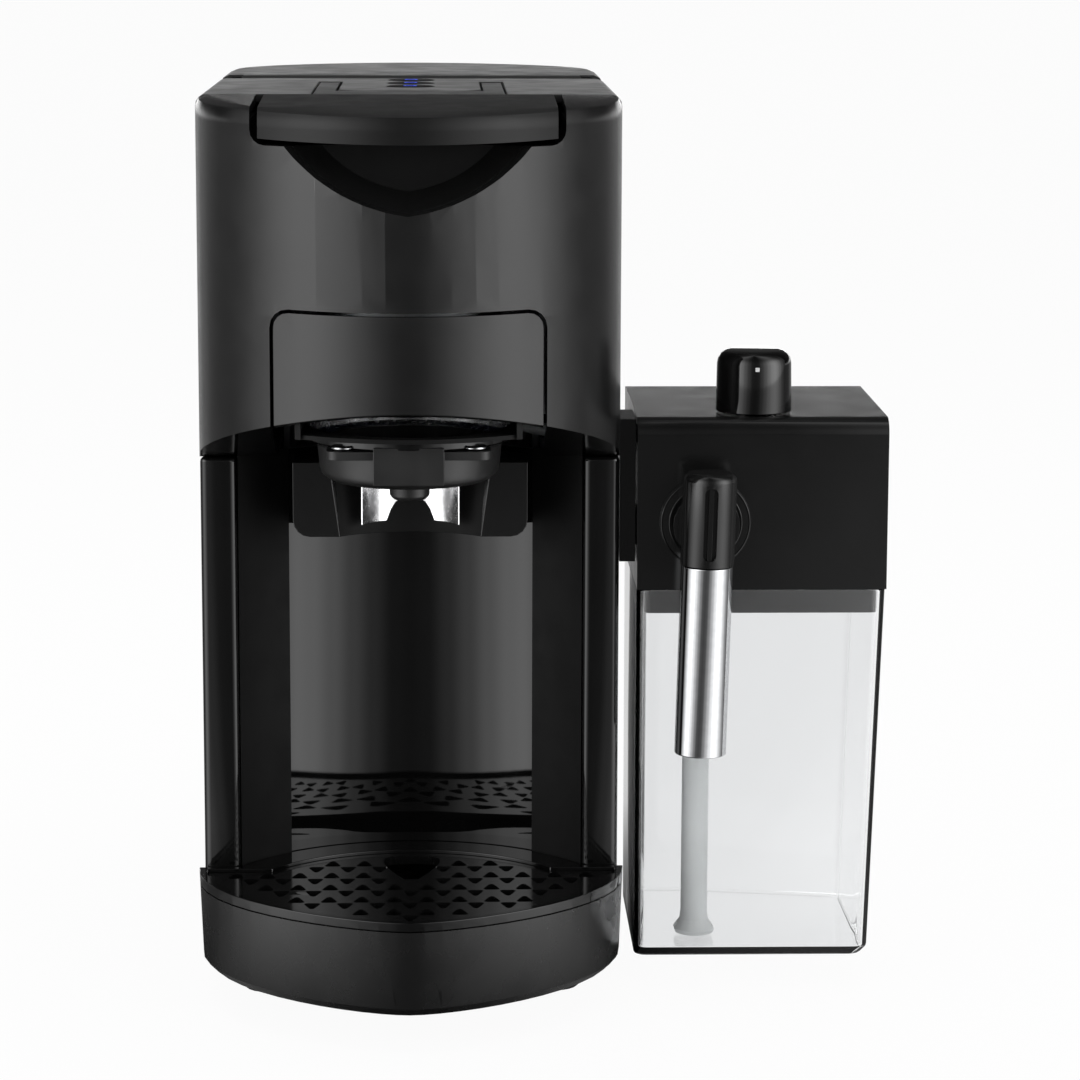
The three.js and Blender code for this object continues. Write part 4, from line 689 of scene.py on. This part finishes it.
def room_around(tree, place):
    """The room's brightness in the direction of a place, by its angle from straight in front."""
    parts = tree.nodes.new("ShaderNodeSeparateXYZ")
    tree.links.new(place, parts.inputs[0])
    aside = sum_of(tree, "ABSOLUTE", parts.outputs["X"])
    ahead = sum_of(tree, "MULTIPLY", parts.outputs["Y"], -1.0)
    angle = sum_of(tree, "ARCTAN2", aside, ahead)
    share = sum_of(tree, "DIVIDE", angle, math.pi)
    ramp = tree.nodes.new("ShaderNodeValToRGB")
    ramp.color_ramp.interpolation = "EASE"
    tree.links.new(share, ramp.inputs["Fac"])
    stops = ramp.color_ramp.elements
    while len(stops) < len(ROOM):
        stops.new(0.5)
    for stop, (degrees, light) in zip(stops, ROOM):
        stop.position = degrees / 180
        stop.color = (*[light / ROOM_FULL] * 3, 1)
    return sum_of(tree, "MULTIPLY", ramp.outputs["Color"], ROOM_FULL), parts


print("brightest panel:", max(light for _, light in ROOM))

# %% Floor
floor_material, floor_shader = blank("floor white")
floor_shader.inputs["Base Color"].default_value = (0.8, 0.8, 0.8, 1)
floor_shader.inputs["Roughness"].default_value = 0.9
floor_tree = floor_material.node_tree
floor_path = floor_tree.nodes.new("ShaderNodeLightPath")
floor_place = floor_tree.nodes.new("ShaderNodeTexCoord")
from_machine = joined(
    floor_tree, "ShaderNodeVectorMath", floor_place.outputs["Object"], operation="SUBTRACT",
)
from_machine.node.inputs[1].default_value = at(0, 10, 0)
room = room_around(floor_tree, from_machine)[0]
straight = sum_of(
    floor_tree, "MAXIMUM", floor_path.outputs["Is Camera Ray"],
    floor_path.outputs["Is Transmission Ray"],
)
reach = joined(floor_tree, "ShaderNodeVectorMath", from_machine, operation="LENGTH")
reach = reach.node.outputs["Value"]
# What mirrors see of the floor is dimmed close to the machine: 0.08 within 0.1 m, rising to full at
# 0.27 m. This is a painted shadow under the machine, since the glow itself gets no shade.
painted_contact_shadow = joined(floor_tree, "ShaderNodeMapRange", reach, 0.1, 0.27, 0.08, 1.0)
shine = sum_of(
    floor_tree, "MULTIPLY", floor_path.outputs["Is Glossy Ray"],
    sum_of(floor_tree, "MULTIPLY", room, painted_contact_shadow),
)
floor_glow = floor_tree.nodes.new("ShaderNodeEmission")
floor_tree.links.new(sum_of(floor_tree, "MAXIMUM", straight, shine), floor_glow.inputs["Strength"])
floor_share = sum_of(
    floor_tree, "MAXIMUM", sum_of(floor_tree, "MULTIPLY", straight, 0.95),
    sum_of(floor_tree, "MULTIPLY", floor_path.outputs["Is Glossy Ray"], 0.97),
)
floor_mix = joined(
    floor_tree, "ShaderNodeMixShader", floor_share, floor_shader.outputs[0],
    floor_glow.outputs[0],
)
floor_tree.links.new(floor_mix, floor_tree.nodes["Material Output"].inputs["Surface"])

floor_form = bmesh.new()
bmesh.ops.create_grid(floor_form, x_segments=1, y_segments=1, size=40)
floor_mesh = bpy.data.meshes.new("floor")
floor_form.to_mesh(floor_mesh)
floor_form.free()
floor = bpy.data.objects.new("floor", floor_mesh)
floor.data.materials.append(floor_material)
bpy.context.scene.collection.objects.link(floor)
print("floor laid")

# %% World
world = bpy.data.worlds.new("studio")
bpy.context.scene.world = world
world.use_nodes = True
sky = world.node_tree
sky_path = sky.nodes.new("ShaderNodeLightPath")
sky_place = sky.nodes.new("ShaderNodeTexCoord")
room, sky_parts = room_around(sky, sky_place.outputs["Generated"])
# Each map takes the height looked at, its start and end, and the light at start and end.
overhead = joined(
    sky, "ShaderNodeMapRange", sky_parts.outputs["Z"], 0.3, 0.8, 1.8, 0.5,
    interpolation_type="SMOOTHSTEP",
)
behind = joined(
    sky, "ShaderNodeMapRange", sky_parts.outputs["Z"], 0.055, 0.105, 4.1, 0.1,
    interpolation_type="SMOOTHSTEP",
)
is_behind = sum_of(sky, "GREATER_THAN", sky_parts.outputs["Y"], 0.3)
is_front = sum_of(sky, "SUBTRACT", 1.0, is_behind)
front_share = sum_of(sky, "MULTIPLY", is_front, overhead)
back_share = sum_of(sky, "MULTIPLY", is_behind, behind)
mirrored = sum_of(sky, "MULTIPLY", room, sum_of(sky, "ADD", front_share, back_share))
shine = sum_of(sky, "MULTIPLY", mirrored, sky_path.outputs["Is Glossy Ray"])
straight = sum_of(
    sky, "MAXIMUM", sky_path.outputs["Is Camera Ray"], sky_path.outputs["Is Transmission Ray"],
)
matt = sum_of(sky, "MULTIPLY", sky_path.outputs["Is Diffuse Ray"], 0.45)
level = sum_of(sky, "MAXIMUM", sum_of(sky, "MAXIMUM", straight, shine), matt)
backdrop = sky.nodes["Background"]
backdrop.inputs["Color"].default_value = (1, 1, 1, 1)
sky.links.new(level, backdrop.inputs["Strength"])
print("world ready")


# %% Soft boxes
def soft_box(name, where, aim, width, height, power):
    """A rectangular lamp that faces a point and lights matt surfaces only."""
    lamp = bpy.data.lights.new(name, "AREA")
    lamp.shape = "RECTANGLE"
    lamp.size, lamp.size_y, lamp.energy = width, height, power
    box = bpy.data.objects.new(name, lamp)
    box.location = where
    box.rotation_euler = (where - aim).to_track_quat("Z", "Y").to_euler()
    box.visible_glossy = False
    bpy.context.scene.collection.objects.link(box)
    return box


heart = at(0, 60, 170)
soft_box("soft box left", at(-1150, -950, 500), heart, 1.0, 1.4, 9)
soft_box("soft box right", at(1150, -950, 500), heart, 1.0, 1.4, 9)
soft_box("soft box over", at(0, 300, 1500), heart, 1.6, 1.2, 14)
bpy.context.scene.view_settings.view_transform = "Standard"
print("lamps:", len(bpy.data.lights))
